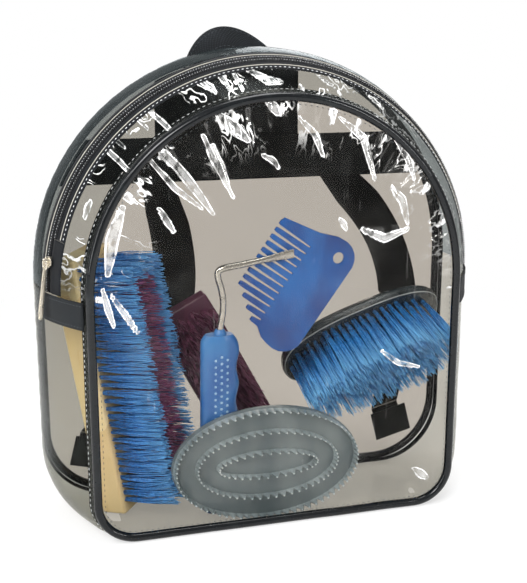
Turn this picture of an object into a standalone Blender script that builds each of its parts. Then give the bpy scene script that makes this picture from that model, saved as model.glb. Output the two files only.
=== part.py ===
"""Clear vinyl grooming backpack with its brushes, combs and hoof pick.

The bag stands on its base with its front towards -Y and +X to the right of
someone looking at the front. The origin is the centre of the base's underside.
"""
import math

import bmesh
import bpy
from mathutils import Matrix, Vector

MM = 0.001

# Bag: overall size
BAG_WIDTH = 350 * MM
BAG_HEIGHT = 365 * MM
BAG_DEPTH = 100 * MM

# Bag: how the clear gusset swells from the front rim to the rear rim
FRONT_INSET = 30 * MM
ZIP_INSET = 7 * MM
ZIP_FROM_FRONT = 38 * MM
FRONT_CORNER = 32 * MM
REAR_CORNER = 56 * MM
CROWN = 7 * MM

# Bag: materials and seams
SKIN = 0.8 * MM
GAP = 0.3 * MM
PIPING_RADIUS = 3.5 * MM
PIPING_CLEAR = 0.4 * MM
SEAM = 2.5 * MM
YOKE_DROP = 105 * MM
YOKE_HEIGHT = 36 * MM
YOKE_THICK = 1.2 * MM
PATCH_LEFT = -75 * MM
PATCH_RIGHT = 44 * MM
WALL_CLEAR = 0.8 * MM

# Zip
TAPE_HALF = 13 * MM
TAPE_THICK = 0.6 * MM
TEETH_RADIUS = 1.3 * MM
TEETH_CHANNEL = 0.7 * MM
TEETH_SINK = 0.3 * MM
PARK_DEG = 8.0
PARK_SPAN_DEG = 14.0
TAB_HEIGHT = 21 * MM
TAB_THICK = 1.0 * MM
SLIDER_LENGTH = 9 * MM
SLIDER_HALF = 4.6 * MM
SLIDER_PLATE = 1.2 * MM
SLIDER_POST = 0.35 * MM
BAIL_LENGTH = 7 * MM
BAIL_HEIGHT = 3.6 * MM
BAIL_HALF = 1.0 * MM
BAIL_BAR = 1.2 * MM
PULL_LENGTH = 44 * MM
PULL_WIDTH = 6 * MM
PULL_THICK = 1.2 * MM
PULL_START = 4.8 * MM

# Straps and carrying loop
LOOP_X = -9 * MM
LOOP_HALF = 41 * MM
LOOP_RISE = 30.5 * MM
LOOP_BAND = 19 * MM
LOOP_THIN = 14 * MM
LOOP_ROOT = 30 * MM
WEB_THICK = 1.6 * MM
WEB_WIDTH = 25 * MM
LOOP_DROP = 13.5 * MM
PAD_WIDTH = 36 * MM
PAD_THICK = 7 * MM
STRAP_STAND = 9 * MM
STRAP_BOW = 51 * MM
STRAP_BOW_DEG = 62.0
STRAP_TOP_X = 75 * MM
STRAP_TOP_DROP = 97 * MM
STRAP_FOOT_IN = 44 * MM
STRAP_FOOT_Z = 48 * MM
STRAP_PAD_END = 0.60
STRAP_LOCK_END = 0.665
ROOT_LENGTH = 26 * MM
LEFT_FACE_DEG = 15.0
RIGHT_FACE_DEG = 45.0

# Dandy brush
DANDY_LENGTH = 212 * MM
DANDY_WIDTH = 58 * MM
DANDY_THICK = 22 * MM
DANDY_BRISTLE = 47 * MM
DANDY_TURN_DEG = 40.0
DANDY_LEAN_DEG = 9.0

# Body brush
BODY_LENGTH = 148 * MM
BODY_WIDTH = 68 * MM
BODY_THICK = 17 * MM
BODY_BRISTLE = 50 * MM
BODY_PITCH_DEG = 31.0
BODY_TILT_DEG = 18.0
BODY_YAW_DEG = 2.0
BODY_CENTRE_Z = 130 * MM

# Face brush
FACE_LENGTH = 168 * MM
FACE_WIDTH = 50 * MM
FACE_THICK = 15 * MM
FACE_BRISTLE = 22 * MM
FACE_TILT_DEG = 28.0
FACE_CENTRE_X = -22 * MM

# Hoof pick
PICK_X = -43 * MM
PICK_HANDLE = 152 * MM
PICK_HALF_WIDTH = 15.5 * MM
PICK_HALF_THICK = 7.5 * MM
PICK_NOTCH = 2.2 * MM
PICK_STEEL = 2.7 * MM
PICK_RISE = 54 * MM
PICK_REACH = 56 * MM
PICK_LEAN_DEG = 4.0

# Mane comb
COMB_THICK = 3.2 * MM
COMB_TOOTH = 32 * MM
COMB_PITCH = 6.1 * MM
COMB_TEETH = 13
COMB_LONG = 84 * MM
COMB_BACK = 70 * MM
COMB_HOLE = 4.6 * MM
COMB_TURN_DEG = 125.7
COMB_X = 5 * MM
COMB_Z = 241 * MM

# Curry comb
CURRY_LENGTH = 152 * MM
CURRY_WIDTH = 92 * MM
CURRY_BODY = 6 * MM
CURRY_RING = 8 * MM
CURRY_X = -8 * MM

STRAND_PITCH = 8 * MM
STRAND_ROOT = 4.2 * MM
STRAND_BASE = 2 * MM
STRAND_COLLAR = 0.5 * MM

# Sizes that follow from the ones above
HALF_DEPTH = BAG_DEPTH / 2
REAR_HALF = BAG_WIDTH / 2
FRONT_HALF = REAR_HALF - FRONT_INSET
ZIP_HALF = REAR_HALF - ZIP_INSET
ARCH_Z = BAG_HEIGHT - REAR_HALF
ZIP_Y = -HALF_DEPTH + ZIP_FROM_FRONT
EDGE_Y = HALF_DEPTH - SEAM
PIPING_SIDE = math.sqrt((PIPING_RADIUS + PIPING_CLEAR) ** 2 - SEAM**2)
ZIP_SLOPE = math.atan(
    ((ZIP_HALF - FRONT_HALF) * (BAG_DEPTH - ZIP_FROM_FRONT) / ZIP_FROM_FRONT + ZIP_INSET * ZIP_FROM_FRONT
     / (BAG_DEPTH - ZIP_FROM_FRONT)) / BAG_DEPTH
)
INNER_FRONT = -HALF_DEPTH + PIPING_RADIUS + GAP
INNER_BACK = HALF_DEPTH - PIPING_RADIUS - GAP
FLOOR = SKIN + 1.5 * GAP

ARCH_STEPS = 40
CORNER_STEPS = 7


def collection(name):
    made = bpy.data.collections.new(name)
    bpy.context.scene.collection.children.link(made)
    return made


for old in list(bpy.data.objects):
    bpy.data.objects.remove(old)
PARTS = collection("grooming_backpack")
CUTTERS = collection("cutters")


# Materials


def material(name, colour, roughness, metallic=0.0, alpha=1.0):
    made = bpy.data.materials.new(name)
    made.use_nodes = True
    shader = made.node_tree.nodes["Principled BSDF"]
    shader.inputs["Base Color"].default_value = (*colour, 1.0)
    shader.inputs["Roughness"].default_value = roughness
    shader.inputs["Metallic"].default_value = metallic
    shader.inputs["Alpha"].default_value = alpha
    return made


VINYL = dict(colour=(0.75, 0.76, 0.74), roughness=0.08, alpha=0.25)
BLACK_VINYL = dict(colour=(0.012, 0.013, 0.015), roughness=0.25)
BLACK_CLOTH = dict(colour=(0.016, 0.018, 0.022), roughness=0.85)
BLACK_PLASTIC = dict(colour=(0.015, 0.016, 0.018), roughness=0.35)
STEEL = dict(colour=(0.75, 0.73, 0.70), roughness=0.22, metallic=1.0)
WOOD = dict(colour=(0.78, 0.58, 0.28), roughness=0.5)
DARK_WOOD = dict(colour=(0.16, 0.03, 0.03), roughness=0.4)
BLUE_FIBRE = dict(colour=(0.03, 0.20, 0.62), roughness=0.5)
MAROON_FIBRE = dict(colour=(0.16, 0.02, 0.06), roughness=0.5)
BLUE_PLASTIC = dict(colour=(0.02, 0.12, 0.55), roughness=0.3)
SMOKE_RUBBER = dict(colour=(0.20, 0.26, 0.30), roughness=0.45, alpha=0.7)


# Shared shape tools


def place(name, mesh, look, matrix=None, into=None):
    """An object for one piece, with its own material."""
    made = bpy.data.objects.new(name, mesh)
    (into or PARTS).objects.link(made)
    if matrix is not None:
        made.matrix_world = matrix
    if look is not None:
        mesh.materials.clear()
        mesh.materials.append(material(name + "_finish", **look))
    return made


def finish_mesh(name, bm, smooth=True):
    mesh = bpy.data.meshes.new(name)
    bm.to_mesh(mesh)
    bm.free()
    if smooth:
        mesh.shade_smooth()
        mesh.set_sharp_from_angle(angle=math.radians(35))
    return mesh


def modifier(piece, kind, **settings):
    made = piece.modifiers.new(kind.title(), kind)
    for key, value in settings.items():
        setattr(made, key, value)
    return made


def thicken(piece, thickness, offset=-1.0):
    modifier(piece, "SOLIDIFY", thickness=thickness, offset=offset, use_even_offset=True)
    return piece


def loft_rows(rows, closed=False):
    """An open skin between rows of points that run the same way."""
    bm = bmesh.new()
    grid = [[bm.verts.new(point) for point in row] for row in rows]
    for low, high in zip(grid, grid[1:]):
        count = len(low)
        for i in range(count if closed else count - 1):
            j = (i + 1) % count
            bm.faces.new((low[i], low[j], high[j], high[i]))
    return bm, grid


def loft_solid(name, sections, look):
    """A closed solid through closed sections, capped at both ends."""
    bm, grid = loft_rows(sections, closed=True)
    bm.faces.new(list(reversed(grid[0])))
    bm.faces.new(grid[-1])
    bmesh.ops.recalc_face_normals(bm, faces=bm.faces)
    return place(name, finish_mesh(name, bm), look)


def tube(name, points, radius, look, closed=False, resolution=2):
    """A round tube along a list of points."""
    curve = bpy.data.curves.new(name, "CURVE")
    curve.dimensions = "3D"
    spline = curve.splines.new("POLY")
    spline.points.add(len(points) - 1)
    for slot, point in zip(spline.points, points):
        slot.co = (*point, 1.0)
    spline.use_cyclic_u = closed
    curve.bevel_depth = radius
    curve.bevel_resolution = resolution
    curve.use_fill_caps = not closed
    return place(name, curve, look)


def bevelled_box(name, size, matrix, look, width, segments=2):
    bm = bmesh.new()
    bmesh.ops.create_cube(bm, size=1.0)
    bmesh.ops.scale(bm, vec=size, verts=bm.verts)
    piece = place(name, finish_mesh(name, bm), look, matrix)
    modifier(piece, "BEVEL", width=width, segments=segments)
    return piece


def cut(piece, size, matrix):
    """Take a box out of a piece."""
    bm = bmesh.new()
    bmesh.ops.create_cube(bm, size=1.0)
    bmesh.ops.scale(bm, vec=size, verts=bm.verts)
    cutter = place(piece.name + "_cutter", finish_mesh("cutter", bm, False), None, matrix, CUTTERS)
    cutter.hide_render = True
    cutter.display_type = "WIRE"
    modifier(piece, "BOOLEAN", operation="DIFFERENCE", solver="EXACT", object=cutter)


def axes_matrix(origin, x_axis, y_axis, z_axis):
    turn = Matrix((x_axis, y_axis, z_axis)).transposed()
    return Matrix.Translation(origin) @ turn.to_4x4()


# The bag's outline


def rim(y):
    """Half-width of the gusset's outer face at depth y, a smooth swell through three rims."""
    a, b, c = -HALF_DEPTH, ZIP_Y, HALF_DEPTH
    first = (ZIP_HALF - FRONT_HALF) / (b - a)
    second = (REAR_HALF - ZIP_HALF) / (c - b)
    return FRONT_HALF + first * (y - a) + (second - first) / (c - a) * (y - a) * (y - b)


def corner(y):
    share = (y + HALF_DEPTH) / BAG_DEPTH
    return FRONT_CORNER + (REAR_CORNER - FRONT_CORNER) * share


def arch_points(radius, y, low_deg=0.0, high_deg=180.0, lift=GAP, steps=ARCH_STEPS):
    """Points over the arch from the right to the left."""
    points = []
    for i in range(steps + 1):
        angle = math.radians(low_deg + (high_deg - low_deg) * i / steps)
        points.append((radius * math.cos(angle), y, ARCH_Z + lift + radius * math.sin(angle)))
    return points


def lower_points(radius, turn, base, y):
    """Points from the left spring of the arch, under the base, to the right spring."""
    points = [(-radius, y, ARCH_Z)]
    points.append((-radius, y, (ARCH_Z + base + turn) / 2))
    for i in range(CORNER_STEPS + 1):
        angle = math.radians(180 + 90 * i / CORNER_STEPS)
        points.append((turn - radius + turn * math.cos(angle), y, base + turn + turn * math.sin(angle)))
    points.append((0.0, y, base))
    mirrored = [(-x, depth, z) for x, depth, z in reversed(points[:-1])]
    return points + mirrored


def inside_margin(point):
    """How far a point is inside the gusset's inner face."""
    x, y, z = point
    radius = rim(y) - SKIN
    turn = corner(y) - SKIN
    if z >= ARCH_Z:
        return radius - math.hypot(x, z - ARCH_Z)
    side = abs(x) - (radius - turn)
    under = SKIN + turn - z
    if side > 0 and under > 0:
        return turn - math.hypot(side, under)
    return radius - abs(x)


def gusset(name, first_y, last_y, low_deg, high_deg, thickness, look, bands, steps=ARCH_STEPS):
    """A band of the gusset over part of the arch."""
    rows = []
    for i in range(bands + 1):
        y = first_y + (last_y - first_y) * i / bands
        rows.append(arch_points(rim(y), y, low_deg, high_deg, steps=steps))
    bm, _ = loft_rows(rows)
    return thicken(place(name, finish_mesh(name, bm), look), thickness, 1.0)


def keep_side(bm, point, normal):
    geom = bm.verts[:] + bm.edges[:] + bm.faces[:]
    bmesh.ops.bisect_plane(bm, geom=geom, plane_co=point, plane_no=normal, clear_inner=True)


def panel_mesh(name, radius, turn, base, y, crown, low=None, high=None, left=None, right=None):
    """A sheet inside a closed outline, crowned if asked, kept between the limits given."""
    ring = arch_points(radius, y, lift=0.0)[:-1] + lower_points(radius, turn, base, y)[:-1]
    middle = (0.0, (base + ARCH_Z + radius) / 2)
    rows = []
    for scale in (1.0, 0.86, 0.66, 0.42, 0.18) if crown else (1.0, 0.5):
        row = []
        for x, depth, z in ring:
            height = middle[1] + (z - middle[1]) * scale
            row.append((x * scale, depth - crown * (1 - scale**2), height))
        rows.append(row)
    bm, grid = loft_rows(rows, closed=True)
    bm.faces.new(grid[-1])
    if low is not None:
        keep_side(bm, (0, 0, low), (0, 0, 1))
    if high is not None:
        keep_side(bm, (0, 0, high), (0, 0, -1))
    if left is not None:
        keep_side(bm, (left, 0, 0), (1, 0, 0))
    if right is not None:
        keep_side(bm, (right, 0, 0), (-1, 0, 0))
    return finish_mesh(name, bm)


def piping_radius(side):
    return rim(side * EDGE_Y) - SKIN - PIPING_SIDE


def bag_panels():
    """The front in two halves that meet at the fold, and the back."""
    turn = FRONT_CORNER - PIPING_SIDE - PIPING_RADIUS
    inner = piping_radius(-1) - PIPING_RADIUS - GAP
    base = SKIN + PIPING_SIDE + PIPING_RADIUS + GAP
    mesh = panel_mesh("front_panel_lower", inner, turn, base, -HALF_DEPTH, CROWN, high=ARCH_Z - GAP)
    thicken(place("front_panel_lower", mesh, VINYL), SKIN, 0.0)
    mesh = panel_mesh("front_panel_upper", inner, turn, base, -HALF_DEPTH, CROWN, low=ARCH_Z + GAP)
    thicken(place("front_panel_upper", mesh, VINYL), SKIN, 0.0)
    inner = piping_radius(1) - PIPING_RADIUS - GAP
    turn = REAR_CORNER - PIPING_SIDE - PIPING_RADIUS
    mesh = panel_mesh("back_panel", inner, turn, base, HALF_DEPTH, 0.0)
    thicken(place("back_panel", mesh, VINYL), SKIN, 0.0)


def back_yoke():
    """A stitched band across the back, and the patch that carries the loop."""
    inner = piping_radius(1) - PIPING_RADIUS - 2 * GAP
    turn = REAR_CORNER - PIPING_SIDE - PIPING_RADIUS
    base = SKIN + PIPING_SIDE + PIPING_RADIUS + 2 * GAP
    y = HALF_DEPTH + SKIN / 2 + GAP + YOKE_THICK / 2
    low = BAG_HEIGHT - YOKE_DROP
    high = low + YOKE_HEIGHT
    mesh = panel_mesh("yoke_band", inner, turn, base, y, 0.0, low=low, high=high)
    thicken(place("yoke_band", mesh, BLACK_CLOTH), YOKE_THICK, 0.0)
    mesh = panel_mesh(
        "loop_patch", inner, turn, base, y, 0.0, low=high + GAP, left=PATCH_LEFT, right=PATCH_RIGHT
    )
    thicken(place("loop_patch", mesh, BLACK_CLOTH), YOKE_THICK, 0.0)


def bag_piping():
    front = piping_radius(-1)
    rear = piping_radius(1)
    base = SKIN + PIPING_SIDE
    upper = arch_points(front, -HALF_DEPTH)
    lower = lower_points(front, FRONT_CORNER - PIPING_SIDE, base, -HALF_DEPTH)
    tube("front_piping_upper", upper, PIPING_RADIUS, BLACK_VINYL)
    tube("front_piping_lower", lower, PIPING_RADIUS, BLACK_VINYL)
    ring = arch_points(rear, HALF_DEPTH, lift=0.0)[:-1]
    ring += lower_points(rear, REAR_CORNER - PIPING_SIDE, base, HALF_DEPTH)[:-1]
    tube("rear_piping", ring, PIPING_RADIUS, BLACK_VINYL, closed=True)


def bag_gussets():
    tape_front = ZIP_Y - TAPE_HALF
    tape_rear = ZIP_Y + TAPE_HALF
    gusset("front_strip", -EDGE_Y, tape_front - GAP, 0, 180, SKIN, VINYL, 2)
    gusset("rear_strip", tape_rear + GAP, EDGE_Y, 0, 180, SKIN, VINYL, 3)
    rows = []
    for i in range(7):
        y = -EDGE_Y + 2 * EDGE_Y * i / 6
        rows.append(lower_points(rim(y), corner(y), 0.0, y))
    bm, _ = loft_rows(rows)
    lower = place("lower_gusset", finish_mesh("lower_gusset", bm), VINYL)
    thicken(lower, SKIN, 1.0)


def teeth_y(side):
    return ZIP_Y + side * (TEETH_CHANNEL + TEETH_RADIUS)


def zip_parts():
    edge = TEETH_CHANNEL + 2 * TEETH_RADIUS + GAP
    free_low = PARK_SPAN_DEG
    free_high = 180 - PARK_SPAN_DEG
    gusset(
        "zip_tape_front", ZIP_Y - TAPE_HALF, ZIP_Y - edge, free_low, free_high, TAPE_THICK, BLACK_CLOTH, 1
    )
    gusset("zip_tape_rear", ZIP_Y + edge, ZIP_Y + TAPE_HALF, 0, 180, TAPE_THICK, BLACK_CLOTH, 1)
    short = math.degrees(GAP / ZIP_HALF)
    for side, low, high in (("right", 0, free_low - short), ("left", free_high + short, 180)):
        name = "zip_tape_end_" + side
        gusset(name, ZIP_Y - TAPE_HALF, ZIP_Y - edge, low, high, TAPE_THICK, BLACK_CLOTH, 1, 4)
    tube(
        "zip_teeth_front",
        arch_points(rim(teeth_y(-1)) - TEETH_SINK, teeth_y(-1), free_low, free_high),
        TEETH_RADIUS,
        BLACK_PLASTIC,
        resolution=1,
    )
    tube(
        "zip_teeth_rear",
        arch_points(rim(teeth_y(1)) - TEETH_SINK, teeth_y(1)),
        TEETH_RADIUS,
        BLACK_PLASTIC,
        resolution=1,
    )


def zip_end_tab(name, side):
    """A textured tab across the gusset below the end of the zip."""
    rows = []
    for i in range(7):
        y = -EDGE_Y + (EDGE_Y + ZIP_Y + TAPE_HALF) * i / 6
        x = side * (rim(y) + 2 * GAP)
        rows.append([(x, y, ARCH_Z - TAB_HEIGHT), (x, y, ARCH_Z - GAP)])
    bm, _ = loft_rows(rows)
    tab = place(name, finish_mesh(name, bm), BLACK_CLOTH)
    thicken(tab, TAB_THICK, -1.0 if side > 0 else 1.0)
    return tab


def zip_frame():
    """The slider's place: x along the zip downwards, y across it, z outwards."""
    angle = math.radians(PARK_DEG)
    outward = Vector((-math.cos(angle), 0.0, math.sin(angle)))
    down = Vector((-math.sin(angle), 0.0, -math.cos(angle)))
    origin = Vector((0.0, ZIP_Y, ARCH_Z + GAP)) + outward * ZIP_HALF
    normal = outward * math.cos(ZIP_SLOPE) - Vector((0.0, math.sin(ZIP_SLOPE), 0.0))
    return axes_matrix(origin, down, normal.cross(down), normal)


def slider_parts():
    """The slider straddles the tapes, and its bail holds the pull."""
    frame = zip_frame()
    over = TEETH_RADIUS - TEETH_SINK + 0.6 * MM
    under = TEETH_RADIUS + TEETH_SINK + 0.6 * MM
    height = over + under + 2 * SLIDER_PLATE
    centre = (over - under) / 2
    body = bevelled_box(
        "zip_slider",
        (SLIDER_LENGTH, 2 * SLIDER_HALF, height),
        frame @ Matrix.Translation((0, 0, centre)),
        STEEL,
        0.3 * MM,
        1,
    )
    side = SLIDER_HALF
    for way in (-1, 1):
        cut(
            body,
            (SLIDER_LENGTH * 2, side * 2, over + under),
            frame @ Matrix.Translation((0, way * (SLIDER_POST + side), centre)),
        )
    top = over + SLIDER_PLATE
    bail_mesh = bmesh.new()
    bmesh.ops.create_cube(bail_mesh, size=1.0)
    bmesh.ops.scale(bail_mesh, vec=(BAIL_LENGTH, 2 * BAIL_HALF, BAIL_HEIGHT), verts=bail_mesh.verts)
    bail = place(
        "zip_bail",
        finish_mesh("zip_bail", bail_mesh, False),
        STEEL,
        frame @ Matrix.Translation((0, 0, top + GAP + BAIL_HEIGHT / 2)),
    )
    window = BAIL_HEIGHT - BAIL_BAR
    cut(
        bail,
        (BAIL_LENGTH - 2 * BAIL_BAR, 4 * BAIL_HALF, window),
        frame @ Matrix.Translation((0, 0, top + GAP + window / 2 - BAIL_BAR / 4)),
    )
    pivot = top + GAP + window / 2
    return pivot


def pull_parts(pivot):
    """The pull: an eye round the bail's bar and a flat tongue."""
    frame = zip_frame() @ Matrix.Translation((0, 0, pivot))
    eye = PULL_START + PULL_THICK
    length = PULL_LENGTH + PULL_THICK
    pull = bevelled_box(
        "zip_pull",
        (length, PULL_WIDTH, PULL_THICK),
        frame @ Matrix.Translation((length / 2 - PULL_THICK / 2, 0, 0)),
        STEEL,
        0.25 * MM,
        1,
    )
    hole = PULL_WIDTH - 2 * PULL_THICK
    cut(pull, (eye - PULL_THICK, hole, 4 * PULL_THICK), frame @ Matrix.Translation((eye / 2, 0, 0)))


# Straps and carrying loop


def band_section(centre, across, out, width, thickness):
    half = across * (width / 2)
    thick = out * (thickness / 2)
    return [centre - half - thick, centre + half - thick, centre + half + thick, centre - half + thick]


class Strap:
    """A slack shoulder strap between its root on the yoke and its foot at a lower corner."""

    def __init__(self, side, face_deg):
        self.side = side
        y = HALF_DEPTH + STRAP_STAND
        self.top = Vector((side * STRAP_TOP_X, y, BAG_HEIGHT - STRAP_TOP_DROP))
        self.foot = Vector((side * (REAR_HALF - STRAP_FOOT_IN), y, STRAP_FOOT_Z))
        chord = self.foot - self.top
        self.length = chord.length
        self.along = chord.normalized()
        self.back = Vector((0.0, 1.0, 0.0))
        self.across = self.along.cross(self.back).normalized()
        self.bow = self.turned(STRAP_BOW_DEG)
        self.face = self.turned(face_deg)

    def turned(self, degrees):
        angle = math.radians(degrees)
        return self.back * math.cos(angle) + self.across * math.sin(angle)

    def station(self, share, width, thickness):
        swell = math.sin(math.pi * share)
        centre = self.top + self.along * (self.length * share) + self.bow * (STRAP_BOW * swell)
        out = (self.back * (1 - swell) + self.face * swell).normalized()
        across = self.along.cross(out).normalized()
        slope = math.pi * STRAP_BOW * math.cos(math.pi * share) / self.length
        return band_section(centre, across, out, width, thickness * math.hypot(1, slope))

    def run(self, name, first, last, steps, width, thickness, look):
        sections = []
        for i in range(steps + 1):
            share = first + (last - first) * i / steps
            sections.append(self.station(share, width(share), thickness(share)))
        return loft_solid(name, sections, look)

    def end(self, name, start, direction, surface):
        """Webbing that leaves the strap's end and lies down on the bag."""
        sections = []
        for run, drop in ((0.0, 0.0), (0.35, 0.45), (0.7, 0.95), (1.0, 1.0)):
            low = start.y - (start.y - surface - WEB_THICK / 2) * drop
            centre = start + direction * (ROOT_LENGTH * run)
            centre.y = low
            sections.append(band_section(centre, self.across, self.back, WEB_WIDTH, WEB_THICK))
        return loft_solid(name, sections, BLACK_CLOTH)


def strap_parts(side, label, face_deg):
    """Pad, ladder lock and webbing of one strap, and its two sewn ends."""
    strap = Strap(side, face_deg)
    share_gap = GAP / strap.length

    def pad_width(share):
        return WEB_WIDTH + (PAD_WIDTH - WEB_WIDTH) * min(1.0, share / 0.16)

    def pad_thickness(share):
        near = min(1.0, share / 0.10, (STRAP_PAD_END - share) / 0.05)
        return WEB_THICK + (PAD_THICK - WEB_THICK) * max(0.0, near)

    def web_width(_share):
        return WEB_WIDTH

    def web_thickness(_share):
        return WEB_THICK

    def lock_thickness(_share):
        return WEB_THICK * 2.5

    def lock_width(_share):
        return WEB_WIDTH * 1.25

    strap.run("strap_pad_" + label, share_gap, STRAP_PAD_END, 16, pad_width, pad_thickness, BLACK_CLOTH)
    first = STRAP_PAD_END + share_gap
    strap.run("ladder_lock_" + label, first, STRAP_LOCK_END, 2, lock_width, lock_thickness, BLACK_PLASTIC)
    first = STRAP_LOCK_END + share_gap
    strap.run("strap_web_" + label, first, 1.0 - share_gap, 10, web_width, web_thickness, BLACK_CLOTH)
    face = HALF_DEPTH + SKIN / 2 + YOKE_THICK + 2 * GAP
    strap.end("strap_root_" + label, strap.top, -strap.along, face)
    strap.end("strap_foot_" + label, strap.foot, strap.along, face)
    return strap


def corner_tab(label, strap):
    """A square reinforcing tab on the back panel under the strap's foot."""
    centre = strap.foot + strap.along * (ROOT_LENGTH * 0.55)
    centre.y = HALF_DEPTH + SKIN / 2 + GAP + YOKE_THICK / 2
    matrix = axes_matrix(centre, strap.across, strap.along, strap.across.cross(strap.along))
    size = (WEB_WIDTH * 1.35, ROOT_LENGTH, YOKE_THICK)
    bevelled_box("corner_tab_" + label, size, matrix, BLACK_CLOTH, 0.2 * MM, 1)


def carrying_loop():
    """A flat band bowed up behind the top of the back, on two sewn roots."""
    back = Vector((0.0, 1.0, 0.0))
    thick = back * (WEB_THICK / 2)
    clear_y = HALF_DEPTH + PIPING_RADIUS + GAP + WEB_THICK / 2
    foot = BAG_HEIGHT - LOOP_DROP
    steps = 18
    sections = []
    for i in range(steps + 1):
        angle = math.pi * i / steps
        across, up = math.cos(angle), math.sin(angle)
        outer = Vector((LOOP_X + LOOP_HALF * across, clear_y, foot + LOOP_RISE * up))
        low_rise = LOOP_RISE - LOOP_THIN
        inner = Vector((LOOP_X + (LOOP_HALF - LOOP_BAND) * across, clear_y, foot + low_rise * up))
        sections.append([inner - thick, outer - thick, outer + thick, inner + thick])
    loft_solid("carrying_loop", sections, BLACK_CLOTH)
    face_y = HALF_DEPTH + SKIN / 2 + YOKE_THICK + 2 * GAP + WEB_THICK / 2
    low = BAG_HEIGHT - 2 * PIPING_RADIUS - LOOP_ROOT
    stops = (
        (face_y, low),
        (face_y, low + LOOP_ROOT * 0.5),
        (clear_y, low + LOOP_ROOT * 0.72),
        (clear_y, foot - WEB_THICK / 2 - 0.1 * MM),
    )
    for side, label in ((-1, "left"), (1, "right")):
        middle = LOOP_X + side * (LOOP_HALF - LOOP_BAND / 2)
        rows = []
        for depth, height in stops:
            centre = Vector((middle, depth, height))
            rows.append(band_section(centre, Vector((1.0, 0.0, 0.0)), back, LOOP_BAND, WEB_THICK))
        loft_solid("loop_root_" + label, rows, BLACK_CLOTH)


# Brushes


def strand_pad(name, cells, length, spread, matrix, look, collar=0.0):
    """Strands that stand on a thin slice of backing, one to each cell.

    The collar is how far each strand's root rises above the backing.
    """
    columns = [column for column, _ in cells]
    rows = [row for _, row in cells]
    bm = bmesh.new()
    corners = {}
    tops = []
    for column, row in cells:
        loop = []
        for step_x, step_y in ((0, 0), (1, 0), (1, 1), (0, 1)):
            key = (column + step_x, row + step_y)
            if key not in corners:
                corners[key] = bm.verts.new((key[0] * STRAND_PITCH, key[1] * STRAND_PITCH, 0.0))
            loop.append(corners[key])
        tops.append(bm.faces.new(loop))
    bmesh.ops.solidify(bm, geom=tops, thickness=STRAND_BASE)
    bm.normal_update()
    tops = [face for face in bm.faces if face.normal.z > 0.9]
    bmesh.ops.inset_individual(bm, faces=tops, thickness=(STRAND_PITCH - STRAND_ROOT) / 2, depth=collar)
    for face in tops:
        middle = face.calc_center_median()
        poked = bmesh.ops.poke(bm, faces=[face])
        tip = poked["verts"][0]
        tip.co = (middle.x * spread, middle.y * spread, length)
    recalculated = bm.faces[:]
    bmesh.ops.recalc_face_normals(bm, faces=recalculated)
    count = len(cells)
    piece = place(name, finish_mesh(name, bm), look, matrix)
    return piece, count, (min(columns), min(rows))


def strand_cells(columns, rows, keep):
    """Cells centred on the origin, where keep says so of their centres."""
    cells = []
    for column in range(columns):
        for row in range(rows):
            x = column - columns / 2
            y = row - rows / 2
            if keep(column, row, x + 0.5, y + 0.5):
                cells.append((x, y))
    return cells


def brush_matrix(origin, long_axis, bristle_axis):
    """Local x along the brush, y across it, z out of the bristles."""
    across = bristle_axis.cross(long_axis).normalized()
    return axes_matrix(origin, long_axis.normalized(), across, bristle_axis.normalized())


def oval_block(name, length, width, thickness, arch, matrix, look, power=2.6, steps=32):
    """A handle block: a domed oval, bowed along its length."""
    bm = bmesh.new()
    loops = []
    levels = ((-0.5, 0.94), (-0.32, 1.0), (0.1, 1.0), (0.36, 0.9), (0.5, 0.62))
    for level, scale in levels:
        loop = []
        for i in range(steps):
            angle = 2 * math.pi * i / steps
            cosine, sine = math.cos(angle), math.sin(angle)
            x = length / 2 * scale * math.copysign(abs(cosine) ** (2 / power), cosine)
            y = width / 2 * scale * math.copysign(abs(sine) ** (2 / power), sine)
            bend = arch * (1 - (2 * x / length) ** 2)
            loop.append(bm.verts.new((x, y, -level * thickness - bend)))
        loops.append(loop)
    for low, high in zip(loops, loops[1:]):
        for i in range(steps):
            j = (i + 1) % steps
            bm.faces.new((low[i], low[j], high[j], high[i]))
    bm.faces.new(loops[0])
    bm.faces.new(list(reversed(loops[-1])))
    bmesh.ops.triangulate(bm, faces=[loops_face for loops_face in bm.faces if len(loops_face.verts) > 4])
    bmesh.ops.recalc_face_normals(bm, faces=bm.faces)
    return place(name, finish_mesh(name, bm), look, matrix)


def world_points(piece):
    depsgraph = bpy.context.evaluated_depsgraph_get()
    held = piece.evaluated_get(depsgraph)
    mesh = held.to_mesh()
    points = [piece.matrix_world @ vertex.co for vertex in mesh.vertices]
    held.to_mesh_clear()
    return points


def shift(pieces, vector):
    for piece in pieces:
        piece.matrix_world = Matrix.Translation(vector) @ piece.matrix_world


def nestle(pieces, direction, reach=60 * MM):
    """Move pieces along a direction until they all but touch the inside of the gusset."""
    bpy.context.view_layer.update()
    points = [point for piece in pieces for point in world_points(piece)]
    low, high = -reach, reach
    for _ in range(30):
        middle = (low + high) / 2
        clear = min(inside_margin(point + direction * middle) for point in points)
        if clear > WALL_CLEAR:
            low = middle
        else:
            high = middle
    shift(pieces, direction * low)


def drop_to(pieces, axis, value, highest=False):
    """Move pieces along an axis until their lowest or highest point is at a value."""
    bpy.context.view_layer.update()
    reached = [point[axis] for piece in pieces for point in world_points(piece)]
    vector = Vector((0.0, 0.0, 0.0))
    vector[axis] = value - (max(reached) if highest else min(reached))
    shift(pieces, vector)


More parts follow.
